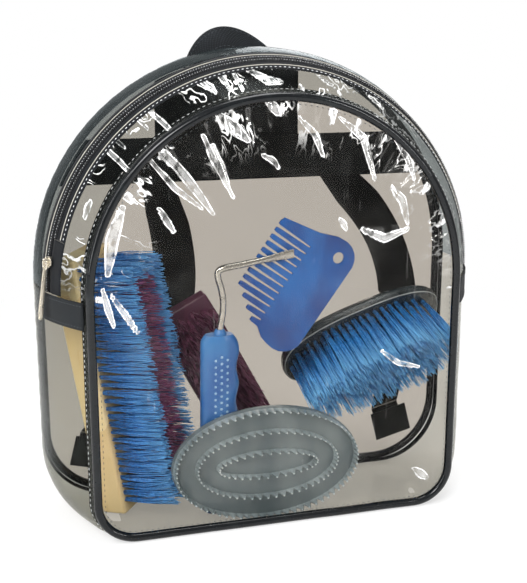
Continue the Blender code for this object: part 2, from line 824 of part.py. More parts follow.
def dandy_brush():
    turn = math.radians(DANDY_TURN_DEG)
    tip = Matrix.Rotation(-math.radians(DANDY_LEAN_DEG), 3, "Y")
    long_axis = tip @ Vector((0.0, 0.0, 1.0))
    bristle = tip @ Vector((math.cos(turn), -math.sin(turn), 0.0))
    matrix = brush_matrix(Vector((-REAR_HALF * 0.7, 0.0, BAG_HEIGHT * 0.3)), long_axis, bristle)
    block = bevelled_box(
        "dandy_block", (DANDY_LENGTH, DANDY_WIDTH, DANDY_THICK), matrix, WOOD, 5 * MM, 3
    )
    columns = int((DANDY_LENGTH - 14 * MM) / STRAND_PITCH)
    rows = int(DANDY_WIDTH / STRAND_PITCH)
    last_column, last_row = columns - 1, rows - 1

    def is_edge(column, row):
        return row < 2 or row > last_row - 2 or column < 2 or column > last_column - 2

    face = matrix @ Matrix.Translation((0, 0, DANDY_THICK / 2 + GAP))
    outer = strand_cells(columns, rows, lambda c, r, x, y: is_edge(c, r))
    inner = strand_cells(columns, rows, lambda c, r, x, y: not is_edge(c, r))
    blue, blue_count, _ = strand_pad("dandy_bristles_outer", outer, DANDY_BRISTLE, 1.0, face, BLUE_FIBRE)
    shrink = Matrix.Diagonal((0.99, 0.95, 1.0, 1.0))
    maroon, maroon_count, _ = strand_pad(
        "dandy_bristles_centre", inner, DANDY_BRISTLE, 1.0, face @ shrink, MAROON_FIBRE
    )
    pieces = [block, blue, maroon]
    drop_to(pieces, 2, FLOOR)
    drop_to(pieces, 1, INNER_BACK, highest=True)
    nestle(pieces, Vector((-1.0, 0.0, 0.0)))
    return blue_count + maroon_count


def body_brush():
    pitch = math.radians(BODY_PITCH_DEG)
    tilt = math.radians(BODY_TILT_DEG)
    yaw = math.radians(BODY_YAW_DEG)
    bristle = Vector((0.0, -math.cos(pitch), -math.sin(pitch)))
    long_axis = Vector((math.cos(tilt), math.sin(yaw), math.sin(tilt))).normalized()
    bristle = (bristle - long_axis * bristle.dot(long_axis)).normalized()
    matrix = brush_matrix(Vector((REAR_HALF * 0.4, 0.0, BODY_CENTRE_Z)), long_axis, bristle)
    back = oval_block(
        "body_brush_back", BODY_LENGTH, BODY_WIDTH, BODY_THICK, 0.0, matrix, BLACK_PLASTIC
    )
    columns = int((BODY_LENGTH - 12 * MM) / STRAND_PITCH)
    rows = int((BODY_WIDTH - 8 * MM) / STRAND_PITCH)

    def keep(_column, _row, x, y):
        return (2 * x / columns) ** 2 + (2 * y / rows) ** 2 < 1.02

    face = matrix @ Matrix.Translation((0, 0, BODY_THICK / 2 + GAP))
    cells = strand_cells(columns, rows, keep)
    tufts, count, _ = strand_pad(
        "body_brush_bristles", cells, BODY_BRISTLE, 1.04, face, BLUE_FIBRE, STRAND_COLLAR
    )
    pieces = [back, tufts]
    drop_to(pieces, 1, HALF_DEPTH - SKIN / 2 - 2 * GAP, highest=True)
    nestle(pieces, Vector((1.0, 0.0, 0.0)))
    return count


def face_brush():
    tilt = math.radians(FACE_TILT_DEG)
    long_axis = Vector((math.sin(tilt), 0.0, -math.cos(tilt)))
    bristle = Vector((0.0, -1.0, 0.0))
    matrix = brush_matrix(Vector((FACE_CENTRE_X, 0.0, FACE_LENGTH / 2)), long_axis, bristle)
    block = bevelled_box("face_block", (FACE_LENGTH, FACE_WIDTH, FACE_THICK), matrix, DARK_WOOD, 4 * MM, 3)
    columns = int((FACE_LENGTH - 12 * MM) / STRAND_PITCH)
    rows = int((FACE_WIDTH - 6 * MM) / STRAND_PITCH)

    def keep(column, row, _x, _y):
        return column not in (0, columns - 1) or row not in (0, rows - 1)

    cells = strand_cells(columns, rows, keep)
    face = matrix @ Matrix.Translation((0, 0, FACE_THICK / 2 + GAP))
    strands, count, _ = strand_pad(
        "face_bristles", cells, FACE_BRISTLE, 1.04, face, MAROON_FIBRE, STRAND_COLLAR
    )
    pieces = [block, strands]
    drop_to(pieces, 2, FLOOR)
    drop_to(pieces, 1, INNER_BACK, highest=True)
    return count


# Hoof pick, mane comb and curry comb


def hoof_pick(curry_back):
    """A moulded grip with finger notches, a bent steel shank and a hook."""
    lean = math.radians(PICK_LEAN_DEG)
    rows = []
    stations = 20
    for i in range(stations + 1):
        share = i / stations
        height = share * PICK_HANDLE
        notch = PICK_NOTCH * (0.5 - 0.5 * math.cos(share * 2 * math.pi * 5.5))
        end = 1.0 - 0.25 * max(0.0, 1 - share * 8) - 0.12 * max(0.0, 1 - (1 - share) * 12)
        row = []
        for k in range(12):
            angle = 2 * math.pi * k / 12
            x = PICK_HALF_WIDTH * end * math.cos(angle)
            if x > 0:
                x -= notch * math.cos(angle)
            y = PICK_HALF_THICK * end * math.sin(angle)
            row.append((x, y, height))
        rows.append(row)
    handle = loft_solid("pick_handle", rows, BLUE_PLASTIC)
    first = Vector((0.0, 0.0, PICK_HANDLE + 2 * GAP))
    shank = [
        first,
        Vector((1.5 * MM, 0.0, PICK_HANDLE + 0.22 * PICK_RISE)),
        Vector((2.5 * MM, -1.0 * MM, PICK_HANDLE + 0.45 * PICK_RISE)),
        Vector((0.5 * MM, -2.5 * MM, PICK_HANDLE + 0.68 * PICK_RISE)),
        Vector((-3.0 * MM, -4.0 * MM, PICK_HANDLE + 0.86 * PICK_RISE)),
        Vector((-3.2 * MM, -4.5 * MM, PICK_HANDLE + 0.95 * PICK_RISE)),
        Vector((0.5 * MM, -5.0 * MM, PICK_HANDLE + 1.0 * PICK_RISE)),
        Vector((0.25 * PICK_REACH, -5.0 * MM, PICK_HANDLE + 1.03 * PICK_RISE)),
        Vector((0.6 * PICK_REACH, -5.0 * MM, PICK_HANDLE + 1.09 * PICK_RISE)),
        Vector((PICK_REACH, -5.0 * MM, PICK_HANDLE + 1.15 * PICK_RISE)),
    ]
    steel = tube("pick_shank", shank, PICK_STEEL, STEEL)
    matrix = Matrix.Translation((PICK_X, curry_back, FLOOR)) @ Matrix.Rotation(lean, 4, "X")
    handle.matrix_world = matrix
    steel.matrix_world = matrix
    drop_to([handle, steel], 2, FLOOR)
    nearest = min(point.y for point in world_points(handle) if point.z < FLOOR + CURRY_WIDTH)
    shift([handle, steel], Vector((0.0, curry_back + GAP - nearest, 0.0)))
    bpy.context.view_layer.update()
    return max(point.y for point in world_points(steel) if point.x > PICK_X + 0.4 * PICK_REACH)


def comb_outline():
    """Points round the comb: teeth along the top, then the rounded back."""
    points = []
    tooth = COMB_PITCH * 0.58
    short = COMB_TEETH - 3
    for i in range(COMB_TEETH):
        start = i * COMB_PITCH
        tip = 0.0 if i < short else COMB_TOOTH * 0.25 * (i - short + 1)
        taper = tooth * 0.2
        points.append((start, COMB_TOOTH))
        points.append((start + taper, tip))
        points.append((start + tooth - taper, tip))
        points.append((start + tooth, COMB_TOOTH))
    points[0] = (-COMB_PITCH * 1.3, COMB_TOOTH)
    points[1] = (-COMB_PITCH * 0.35, 0.0)
    ends = (
        (COMB_LONG, COMB_TOOTH * 1.25),
        (COMB_LONG * 1.03, COMB_BACK * 0.75),
        (COMB_LONG * 0.99, COMB_BACK * 0.9),
        (COMB_LONG * 0.9, COMB_BACK * 1.0),
        (0.0, COMB_BACK),
        (-COMB_PITCH * 1.5, COMB_BACK * 0.94),
        (-COMB_PITCH * 2.3, COMB_BACK * 0.8),
        (-COMB_PITCH * 2.2, COMB_BACK * 0.66),
    )
    points.extend(ends)
    return points


def mane_comb(hook_back):
    curve = bpy.data.curves.new("mane_comb", "CURVE")
    curve.dimensions = "2D"
    curve.fill_mode = "BOTH"
    curve.extrude = COMB_THICK / 2
    outline = comb_outline()
    spline = curve.splines.new("POLY")
    spline.points.add(len(outline) - 1)
    for slot, (along, up) in zip(spline.points, outline):
        slot.co = (along, -up, 0.0, 1.0)
    spline.use_cyclic_u = True
    hole = curve.splines.new("POLY")
    hole.points.add(11)
    for i, slot in enumerate(hole.points):
        angle = 2 * math.pi * i / 12
        across = -COMB_BACK * 0.8 + COMB_HOLE * math.sin(angle)
        slot.co = (COMB_HOLE * math.cos(angle), across, 0.0, 1.0)
    hole.use_cyclic_u = True
    turn = math.radians(COMB_TURN_DEG)
    along = Vector((math.cos(turn), 0.0, -math.sin(turn)))
    tips = Vector((-math.sin(turn), 0.0, -math.cos(turn)))
    y = hook_back + GAP + COMB_THICK / 2
    matrix = axes_matrix(Vector((COMB_X, y, COMB_Z)), along, tips, along.cross(tips))
    return place("mane_comb", curve, BLUE_PLASTIC, matrix)


def curry_comb():
    """An oval rubber disc with three raised oval rings towards the front."""
    half_long, half_wide = CURRY_LENGTH / 2, CURRY_WIDTH / 2
    ring_in = 3.0 * MM
    step = 17 * MM
    levels = [(0.0, 0.0), (0.0, CURRY_BODY + CURRY_RING)]
    for ring in range(3):
        offset = ring * step
        levels.append((offset + ring_in, CURRY_BODY + CURRY_RING))
        levels.append((offset + ring_in + 1.0 * MM, CURRY_BODY))
        if ring < 2:
            levels.append((offset + step - 1.0 * MM, CURRY_BODY))
            levels.append((offset + step, CURRY_BODY + CURRY_RING))
    steps = 32
    sections = []
    for inset, height in levels:
        row = []
        for i in range(steps):
            angle = 2 * math.pi * i / steps
            x = (half_long - inset) * math.cos(angle)
            z = (half_wide - inset) * math.sin(angle)
            row.append((x, -height, z))
        sections.append(row)
    piece = loft_solid("curry_comb", sections, SMOKE_RUBBER)
    y = INNER_FRONT + CURRY_BODY + CURRY_RING
    piece.matrix_world = Matrix.Translation((CURRY_X, y, FLOOR + half_wide))
    return y


def build():
    bag_panels()
    back_yoke()
    bag_piping()
    bag_gussets()
    zip_parts()
    zip_end_tab("zip_end_tab_left", -1)
    zip_end_tab("zip_end_tab_right", 1)
    pivot = slider_parts()
    pull_parts(pivot)
    for side, label, facing in ((-1, "left", LEFT_FACE_DEG), (1, "right", RIGHT_FACE_DEG)):
        corner_tab(label, strap_parts(side, label, facing))
    carrying_loop()
    strands = dandy_brush()
    strands += body_brush()
    strands += face_brush()
    print("strands", strands)
    curry_back = curry_comb()
    hook_back = hoof_pick(curry_back)
    mane_comb(hook_back)


build()
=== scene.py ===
"""Looks of the clear vinyl grooming backpack and the brushes, combs and hoof pick in it.

Every piece is in metres in the CAD frame: the bag stands on its base, its front
is towards -Y, and +X is to the right of someone who looks at the front.
"""
import math
import random

import bmesh
import bpy
import numpy as np
from mathutils import Matrix, Vector, noise


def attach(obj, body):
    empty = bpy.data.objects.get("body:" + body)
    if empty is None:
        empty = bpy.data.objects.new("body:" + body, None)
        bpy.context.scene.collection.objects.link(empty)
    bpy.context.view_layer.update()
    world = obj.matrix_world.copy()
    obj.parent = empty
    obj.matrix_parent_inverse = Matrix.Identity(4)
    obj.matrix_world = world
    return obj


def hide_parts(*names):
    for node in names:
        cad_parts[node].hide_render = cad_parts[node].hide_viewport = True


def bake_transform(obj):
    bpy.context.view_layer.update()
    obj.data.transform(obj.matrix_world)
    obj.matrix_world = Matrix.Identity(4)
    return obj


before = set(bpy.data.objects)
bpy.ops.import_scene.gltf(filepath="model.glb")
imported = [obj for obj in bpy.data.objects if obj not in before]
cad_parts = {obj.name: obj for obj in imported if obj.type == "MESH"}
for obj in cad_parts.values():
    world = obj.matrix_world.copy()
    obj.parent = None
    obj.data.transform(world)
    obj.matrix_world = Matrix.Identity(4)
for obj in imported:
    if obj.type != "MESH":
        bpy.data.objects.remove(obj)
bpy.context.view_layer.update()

MM = 0.001
random.seed(41)

# Sizes that the CAD source gives too
REAR_HALF = 175 * MM
FRONT_HALF = 145 * MM
ZIP_HALF = 168 * MM
ARCH_Z = 190 * MM
HALF_DEPTH = 50 * MM
EDGE_Y = 47.5 * MM
ZIP_Y = -12 * MM
FRONT_CORNER = 32 * MM
REAR_CORNER = 56 * MM
SKIN = 0.8 * MM
GAP = 0.3 * MM
PIPING_SIDE = 2.99 * MM
PIPING_RADIUS = 3.5 * MM
FRONT_RING = 143.16 * MM
REAR_RING = 171.66 * MM
TAPE_HALF = 13 * MM
TAB_HEIGHT = 21 * MM
WEB_THICK = 1.6 * MM
WEB_WIDTH = 25 * MM
BACK_CLOTH = 1.2 * MM
LOOP_X = -9 * MM
BASE_Z = SKIN + PIPING_SIDE
SEWN_Y = HALF_DEPTH + SKIN / 2 + BACK_CLOTH + 2 * GAP + WEB_THICK / 2

# Sizes of the looks alone
FILM = 0.5 * MM
WELT_RADIUS = 3.3 * MM
BACK_Y = 51.3 * MM
BACK_REACH = REAR_RING - PIPING_RADIUS - 0.6 * MM
SHOWN_CLOTH = 1.1 * MM
STRAP_SLACK = 51 * MM
TUFT_PITCH = 6.6 * MM

# The strap's bow in degrees, and places on it as shares of its length or half width
SLACK_TURN = 62.0
PAD_END = 0.60
LOCK_PLACE = 0.633
CHANNEL = 0.42

# Numbers of points on a line
RIM_POINTS = 420
SEAM_POINTS = 400
ARC_POINTS = 160

RIGHT, BACK, UP = Vector((1.0, 0.0, 0.0)), Vector((0.0, 1.0, 0.0)), Vector((0.0, 0.0, 1.0))
SIDES = ((-1, "left"), (1, "right"))


# Small sums


def steps(first, last, count):
    """Even steps from first to last, both ends included."""
    return [first + (last - first) * i / count for i in range(count + 1)]


def turns(count):
    """Even angles once round, in radians."""
    return [2 * math.pi * i / count for i in range(count)]


def clamp(value, low=0.0, high=1.0):
    return max(low, min(high, value))


def hump(distance, width):
    """A soft hump of height 1 with its top at distance 0."""
    return math.exp(-(distance / width) ** 2)


def soft_square(angle, power_x, power_y):
    """A point on an oval of half-size 1 that the powers draw out towards a square."""
    x, y = math.cos(angle), math.sin(angle)
    return math.copysign(abs(x) ** power_x, x), math.copysign(abs(y) ** power_y, y)


def times(colour, factor, more=0.0):
    return tuple(min(1.0, part * factor + more) for part in colour)


# Shader sums


class Value:
    """A node's output, so that sums on it are written as Python sums."""

    def __init__(self, nodes, socket):
        self.nodes = nodes
        self.socket = socket

    def sum(self, operation, *others):
        inputs = dict(enumerate((self,) + others))
        return self.nodes.node("ShaderNodeMath", {"operation": operation}, inputs)

    def __add__(self, other):
        return self.sum("ADD", other)

    def __mul__(self, other):
        return self.sum("MULTIPLY", other)

    def __sub__(self, other):
        return self.sum("SUBTRACT", other)

    def __rsub__(self, other):
        return self.nodes.node("ShaderNodeMath", {"operation": "SUBTRACT"}, {0: other, 1: self})

    def __pow__(self, other):
        return self.sum("POWER", other)

    def __abs__(self):
        return self.sum("ABSOLUTE")

    __radd__ = __add__
    __rmul__ = __mul__

    def within(self, low=0.0, high=1.0):
        return self.sum("MAXIMUM", low).sum("MINIMUM", high)

    def rise(self, low, high):
        """0 up to low, 1 from high, smooth between."""
        inputs = {"Value": self, "From Min": low, "From Max": high}
        return self.nodes.node("ShaderNodeMapRange", {"interpolation_type": "SMOOTHSTEP"}, inputs)


class Nodes:
    """A node tree, and the one way that its nodes are made."""

    def __init__(self, tree, output):
        self.tree = tree
        self.output = tree.nodes[output]

    def put(self, socket, value):
        if isinstance(value, Value):
            self.tree.links.new(value.socket, socket)
        elif isinstance(value, tuple) and len(value) == 3 and socket.type == "RGBA":
            socket.default_value = (*value, 1.0)
        else:
            socket.default_value = value

    def node(self, kind, settings=None, inputs=None, out=0):
        made = self.tree.nodes.new(kind)
        for key, value in (settings or {}).items():
            if key == "stops":
                self.stops(made.color_ramp, value)
            else:
                setattr(made, key, value)
        for key, value in (inputs or {}).items():
            self.put(made.inputs[key], value)
        return Value(self, made.outputs[out])

    def stops(self, ramp, stops):
        for place, _ in stops[2:]:
            ramp.elements.new(place)
        for element, (place, colour) in zip(ramp.elements, sorted(stops)):
            element.position = place
            element.color = (*colour, 1.0)

    def surface(self, share, first, second):
        """Shows the first shader where the share is 0 and the second where it is 1."""
        shown = self.node("ShaderNodeMixShader", {}, {0: share, 1: first, 2: second})
        self.put(self.output.inputs["Surface"], shown)

    def seen(self):
        """1 on rays that come from the camera, straight or through clear pieces."""
        straight = self.node("ShaderNodeLightPath", out="Is Camera Ray")
        through = self.node("ShaderNodeLightPath", out="Is Transmission Ray")
        return (straight + through).within()


class Look(Nodes):
    """A material and the slot that its pieces belong to."""

    def __init__(self, name, slot=None):
        self.material = bpy.data.materials.new(name)
        self.material.use_nodes = True
        self.slot = slot
        super().__init__(self.material.node_tree, "Material Output")
        self.shader = self.tree.nodes["Principled BSDF"]
        self.solid = Value(self, self.shader.outputs[0])

    def set(self, **values):
        for key, value in values.items():
            self.put(self.shader.inputs[key.replace("_", " ")], value)
        return self

    def place(self, scale=(1, 1, 1), turn=(0, 0, 0), source="Object"):
        found = self.node("ShaderNodeTexCoord", out=source)
        return self.node("ShaderNodeMapping", {}, {"Vector": found, "Scale": scale, "Rotation": turn})

    def cloud(self, scale, where=None, detail=3.0):
        inputs = {"Vector": where or self.place(), "Scale": scale, "Detail": detail, "Roughness": 0.55}
        return self.node("ShaderNodeTexNoise", {}, inputs)

    def axis(self, name, where=None):
        return self.node("ShaderNodeSeparateXYZ", {}, {0: where or self.place()}, name)

    def mix(self, share, first, second):
        return self.node("ShaderNodeMix", {"data_type": "RGBA"}, {0: share, 6: first, 7: second}, 2)

    def bump(self, height, depth, strength=1.0):
        inputs = {"Height": height, "Distance": depth, "Strength": strength}
        return self.set(Normal=self.node("ShaderNodeBump", {}, inputs))


def from_arch(look):
    """The place along X, the height above the arch's centre and the distance from it."""
    x, z = look.axis("X"), look.axis("Z") - ARCH_Z
    return x, z, (x ** 2 + z ** 2) ** 0.5


def around(look, along, away=1.0, deep=1.0):
    """Places that run round the arch, away from its centre and along its depth."""
    x, z, reach = from_arch(look)
    inputs = {0: z.sum("ARCTAN2", x) * along, 1: reach * away, 2: look.axis("Y") * deep}
    return look.node("ShaderNodeCombineXYZ", {}, inputs)


def painted_gather_glints(look, inner, outer):
    """Thin curved painted highlights that cross a gathered edge of the arch, strongest beside the seam."""
    # Contour lines of a stretched noise, drawn as painted highlights.
    glint_contours = look.cloud(64.0, around(look, 0.15, 0.45, 0.6), 2.5)
    line = 1.0 - abs(glint_contours - 0.5).rise(0.006, 0.020)
    second = 1.0 - abs(glint_contours - 0.585).rise(0.003, 0.012)
    broken = look.cloud(34.0).rise(0.49, 0.56)
    x, z, away = from_arch(look)
    zone = away.rise(inner, outer) * z.rise(-0.01, 0.05) * (1.0 - x.rise(0.02, 0.09) * 0.55)
    return (line + second).within() * broken * zone


def painted_fold_glints(look, gather_glint_band):
    """Painted white highlights along the rims of the folds, with fine scratches and the painted highlights
    of the gathered edge.
    """
    fold = look.node("ShaderNodeAttribute", {"attribute_name": "crease"}, out="Fac")
    # A painted highlight along the rim of each fold, dimmer in its middle.
    fold_rim_glint = fold.rise(0.10, 0.24) * (1.0 - fold.rise(0.30, 0.58) * 0.85)
    broken = look.cloud(170.0, look.place((1.0, 1.0, 0.6)), 2.0).rise(0.34, 0.56)
    line = fold_rim_glint * (broken * 0.7 + 0.3) + fold.rise(0.3, 0.8) * broken * 0.30
    scratch = look.cloud(330.0, look.place((1.0, 1.0, 0.05), (0.0, 0.9, 0.0))).rise(0.66, 0.74)
    patchy = look.cloud(22.0, detail=1.0).rise(0.45, 0.6)
    return (line + scratch * patchy * 0.16 + painted_gather_glints(look, *gather_glint_band)).within()


def vinyl(name, tint, haze, grazing, grey, crease=0.0, gather_glint_band=None, waves=0.5, drawn=False):
    """Clear soft vinyl: a tinted film with a cloudy, shiny skin, drawn out round the arch or not, and with
    painted fold highlights when given a glint strength.
    """
    look = Look(name, "clear_vinyl")
    where = around(look, 0.017) if drawn else None
    fine = 4.0 if drawn else 1.0
    facing = look.node("ShaderNodeLayerWeight", {}, {"Blend": 0.5}, "Facing")
    cloudy = look.cloud(28.0 * fine, where).rise(0.35, 0.75)
    scuff = look.cloud(240.0, where or look.place((1.0, 1.0, 0.25)), 4.0).rise(0.70, 0.80)
    amount = haze * 0.4 + cloudy * haze + facing.rise(0.45, 0.95) * grazing + scuff * 0.04
    colour = look.mix(cloudy, grey, times(grey, 1.25))
    metallic = 0.6
    # Painted highlights: where the glints are, the film turns white and opaque.
    if crease:
        line = painted_fold_glints(look, gather_glint_band)
        amount = amount + line * crease
        colour = look.mix(line, colour, (1.0, 1.0, 0.99))
        metallic = 0.6 - line * 0.6
    look.set(Base_Color=colour, Metallic=metallic, Roughness=0.10 + cloudy * 0.08, Specular_IOR_Level=0.8)
    look.bump(look.cloud(60.0 * fine ** 0.5, where, 1.0), waves * MM, 0.4)
    clear = look.node("ShaderNodeBsdfTransparent", {}, {"Color": tint})
    look.surface(amount.within(0.0, 0.96), clear, look.solid)
    return look


def black_vinyl(name):
    """Glossy black welt vinyl with rubbed high spots and fine cross wrinkles."""
    look = Look(name, "black_vinyl")
    rubbed = look.cloud(60.0).rise(0.5, 0.8)
    fine = look.cloud(420.0, detail=4.0)
    colour = look.mix(rubbed, (0.002, 0.003, 0.004), (0.007, 0.010, 0.011))
    look.set(Base_Color=colour, Roughness=0.20 + fine * 0.12, Specular_IOR_Level=0.10)
    look.set(Coat_Weight=0.45, Coat_Roughness=0.02)
    return look.bump(fine * 0.12 + look.cloud(90.0) * 0.4, 0.16 * MM, 0.5)


def cloth(name, dark, light, rib, ridge=0.35, cross=0.6):
    """Woven tape or webbing: ribs run across the length, with a twill of threads."""
    look = Look(name, "black_cloth")
    where = look.place(source="UV")
    along = look.axis("Y", where) * (2 * math.pi / rib)
    across = look.axis("X", where) * (2 * math.pi / (rib * 0.8)) * cross
    threads = ((along + across).sum("SINE") * 0.5 + 0.5) * ((along - across).sum("SINE") * 0.5 + 0.5)
    worn = look.cloud(60.0).rise(0.45, 0.8)
    tone = look.cloud(900.0, detail=2.0)
    colour = look.mix((threads * 0.45 + worn * 0.25 + tone * 0.15).within(), dark, light)
    look.set(Base_Color=colour, Roughness=0.72 + worn * 0.15, Specular_IOR_Level=0.2)
    look.set(Sheen_Weight=0.04, Sheen_Roughness=0.5)
    return look.bump(threads + tone * 0.3, ridge * MM, 0.5)


def fibre(name, slot, root, middle, tip, face, length):
    """Bristles that run from painted shade at the block's face to a paler painted highlight at the tip,
    with a tone that differs strand by strand.
    """
    look = Look(name, slot)
    inputs = {0: look.place(), 1: tuple(face.translation)}
    offset = look.node("ShaderNodeVectorMath", {"operation": "SUBTRACT"}, inputs)
    inputs = {0: offset, 1: tuple(face.to_3x3() @ UP)}
    depth = look.node("ShaderNodeVectorMath", {"operation": "DOT_PRODUCT"}, inputs, "Value")
    share = (depth * (1.0 / length)).within()
    strand = look.cloud(520.0, detail=2.0).rise(0.3, 0.7)
    patch = look.cloud(60.0).rise(0.35, 0.7)
    # Root colour is painted shade among the packed strands, tip colour a painted highlight.
    stops = [(0.0, root), (1.0, tip), (0.35, middle)]
    base = look.node("ShaderNodeValToRGB", {"stops": stops}, {0: (share + strand * 0.3 - 0.15).within()})
    colour = look.mix(strand * 0.45, base, times(middle, 1.9, 0.01))
    colour = look.mix(patch * 0.30, colour, times(middle, 0.45))
    look.set(Base_Color=colour, Roughness=0.36 + strand * 0.2, Specular_IOR_Level=0.4)
    return look.bump(strand, 0.15 * MM, 0.4)


def wood(name, slot, dark, pale, scale, turn=(0, 0, 0), gloss=0.42):
    """Sawn and varnished wood with rings along the block and short pores."""
    look = Look(name, slot)
    where = look.place(scale, turn)
    rings = look.node(
        "ShaderNodeTexWave",
        {"wave_type": "BANDS", "bands_direction": "X", "wave_profile": "SAW"},
        {"Vector": where, "Scale": 22.0, "Distortion": 5.0, "Detail": 3.0, "Detail Scale": 1.2},
        "Fac",
    )
    pores = look.cloud(260.0, look.place((1.0, 1.0, 0.06)), 4.0).rise(0.56, 0.72)
    share = (rings * 0.45 + look.cloud(9.0, where, 2.0) * 0.5 + pores * 0.35).within()
    rubbed = look.cloud(70.0).rise(0.6, 0.85)
    colour = look.mix(rubbed * 0.25, look.mix(share, pale, dark), times(dark, 0.7))
    look.set(Base_Color=colour, Roughness=gloss + pores * 0.2, Coat_Weight=0.25, Coat_Roughness=0.25)
    return look.bump(pores * -0.5 + rings * 0.2, 0.25 * MM, 0.6)


def plastic(name, slot, deep, pale, rough, grain=0.3, coat=0.3, through=0.0, shine=0.5):
    """Moulded plastic or rubber with flow marks and fine scratches, through which some light passes."""
    look = Look(name, slot)
    flow = look.cloud(34.0, look.place((1.0, 1.0, 0.5))).rise(0.3, 0.75)
    scratch = look.cloud(600.0, look.place((1.0, 0.2, 0.15)), 4.0).rise(0.62, 0.75)
    colour = look.mix(flow * 0.8 + scratch * 0.2, deep, pale)
    look.set(Base_Color=colour, Roughness=rough + scratch * 0.2 + flow * 0.06)
    look.set(Coat_Weight=coat * shine * 2, Coat_Roughness=0.1, Specular_IOR_Level=shine)
    look.bump(look.cloud(300.0, detail=4.0) * 0.5 + scratch * 0.3, 0.2 * MM, grain)
    if through:
        clear = look.node("ShaderNodeBsdfTransparent", {}, {"Color": tuple(part ** 0.3 for part in pale)})
        facing = look.node("ShaderNodeLayerWeight", {}, {"Blend": 0.4}, "Facing")
        look.surface(((1.0 - through) + facing * through + flow * 0.1).within(), clear, look.solid)
    return look


def metal(name, colour, rough):
    """Cast or drawn metal with dull patches and fine scratches."""
    look = Look(name, "zip_metal")
    dull = look.cloud(160.0).rise(0.4, 0.75)
    scratch = look.cloud(900.0, look.place((1.0, 1.0, 0.12)), 4.0).rise(0.58, 0.7)
    shade = look.mix(dull * 0.6 + scratch * 0.3, colour, times(colour, 0.62))
    look.set(Base_Color=shade, Metallic=1.0, Roughness=rough + dull * 0.14 + scratch * 0.1)
    return look.bump(look.cloud(700.0) * 0.4 + scratch * 0.3, 0.12 * MM, 0.5)


def thread(name, colour, slot=None):
    """Twisted sewing thread, or the cut edge of a film."""
    look = Look(name, slot)
    twist = look.cloud(1600.0, detail=2.0)
    look.set(Base_Color=look.mix(twist, colour, times(colour, 0.7)), Roughness=0.6)
    return look.bump(twist, 0.1 * MM, 0.6)


# Materials

GREY = (0.24, 0.26, 0.26)
# The front and flap films get painted highlights on their folds and across their gathered edges.
CLEAR_FRONT = vinyl(
    "clear_front_vinyl", (0.900, 0.885, 0.865), 0.012, 0.14, (0.50, 0.50, 0.49), 0.95, (0.098, 0.134)
)
CLEAR_BACK = vinyl("clear_back_vinyl", (0.755, 0.735, 0.705), 0.012, 0.10, (0.34, 0.33, 0.31))
CLEAR_SIDE = vinyl("clear_side_vinyl", (0.780, 0.775, 0.745), 0.020, 0.24, GREY, waves=0.3)
CLEAR_FLAP = vinyl("clear_flap_vinyl", (0.800, 0.800, 0.780), 0.015, 0.18, GREY, 0.9, (0.110, 0.150), 0.3)
CLEAR_STRIP = vinyl("clear_strip_vinyl", (0.64, 0.67, 0.68), 0.030, 0.22, (0.20, 0.24, 0.25), drawn=True)
WELT = black_vinyl("black_welt_vinyl")
TAPE = cloth("zip_tape_weave", (0.0015, 0.002, 0.003), (0.008, 0.011, 0.016), 1.3 * MM)
WEBBING = cloth("black_webbing", (0.004, 0.005, 0.006), (0.046, 0.052, 0.060), 2.6 * MM, 0.8, 0.9)
PADDING = cloth("pad_cloth", (0.007, 0.009, 0.012), (0.042, 0.052, 0.066), 1.6 * MM, 0.4, 1.0)
CANVAS = cloth("yoke_cloth", (0.008, 0.011, 0.015), (0.062, 0.082, 0.100), 1.5 * MM, 0.4, 0.8)
TAB_CLOTH = cloth("tab_weave", (0.002, 0.003, 0.004), (0.022, 0.028, 0.034), 1.6 * MM, 0.8, 1.0)
ZINC = metal("cast_zinc", (0.72, 0.66, 0.55), 0.26)
STEEL = metal("plated_steel", (0.50, 0.49, 0.46), 0.18)
WHITE_THREAD = thread("white_thread", (0.82, 0.84, 0.86))
GREY_THREAD = thread("dark_thread", (0.05, 0.06, 0.07))
# The film's cut edge: its own pale tint with a painted highlight of the light the edge catches.
CUT_EDGE_AND_SHEEN = thread("cut_vinyl_edge_and_sheen", (0.50, 0.48, 0.42), "clear_vinyl")
COIL = plastic("black_coil_nylon", "black_plastic",
               (0.002, 0.002, 0.003), (0.008, 0.010, 0.012), 0.24, shine=0.3)
LOCK = plastic("black_buckle_nylon", "black_plastic",
               (0.006, 0.007, 0.008), (0.020, 0.022, 0.026), 0.34, shine=0.3)
BRUSH_BLACK = plastic("black_brush_shell", "black_plastic",
                      (0.006, 0.009, 0.011), (0.036, 0.050, 0.058), 0.22, 0.4, 0.5)
# A pale line that is a painted highlight along the body brush's rim.
BRUSH_RIM_HIGHLIGHT = plastic("painted_rim_highlight", "black_plastic",
                     (0.300, 0.330, 0.340), (0.600, 0.640, 0.650), 0.30)
BLUE = plastic("blue_comb_plastic", "blue_plastic",
               (0.003, 0.045, 0.235), (0.014, 0.150, 0.500), 0.20, 0.2, 0.3, 0.06, 0.4)
GRIP = plastic("blue_grip_plastic", "blue_plastic",
               (0.014, 0.090, 0.330), (0.060, 0.230, 0.530), 0.30, 0.35, shine=0.4)
GRIP_DOT = plastic("pale_grip_dots", "blue_plastic",
                   (0.200, 0.380, 0.600), (0.420, 0.600, 0.780), 0.35)
RUBBER = plastic("smoke_rubber", "smoke_rubber",
                 (0.110, 0.150, 0.170), (0.230, 0.280, 0.300), 0.32, through=0.30)
# Rubber of the tooth rings, paler than the disc's.
RING_RUBBER = plastic("pale_ring_rubber", "smoke_rubber",
                      (0.170, 0.225, 0.250), (0.400, 0.470, 0.500), 0.34, through=0.12)
# Painted highlights on the tips of the comb's teeth.
TOOTH_HIGHLIGHT = plastic("painted_tooth_highlight", "smoke_rubber",
                    (0.420, 0.500, 0.540), (0.700, 0.760, 0.780), 0.36)


# Meshes


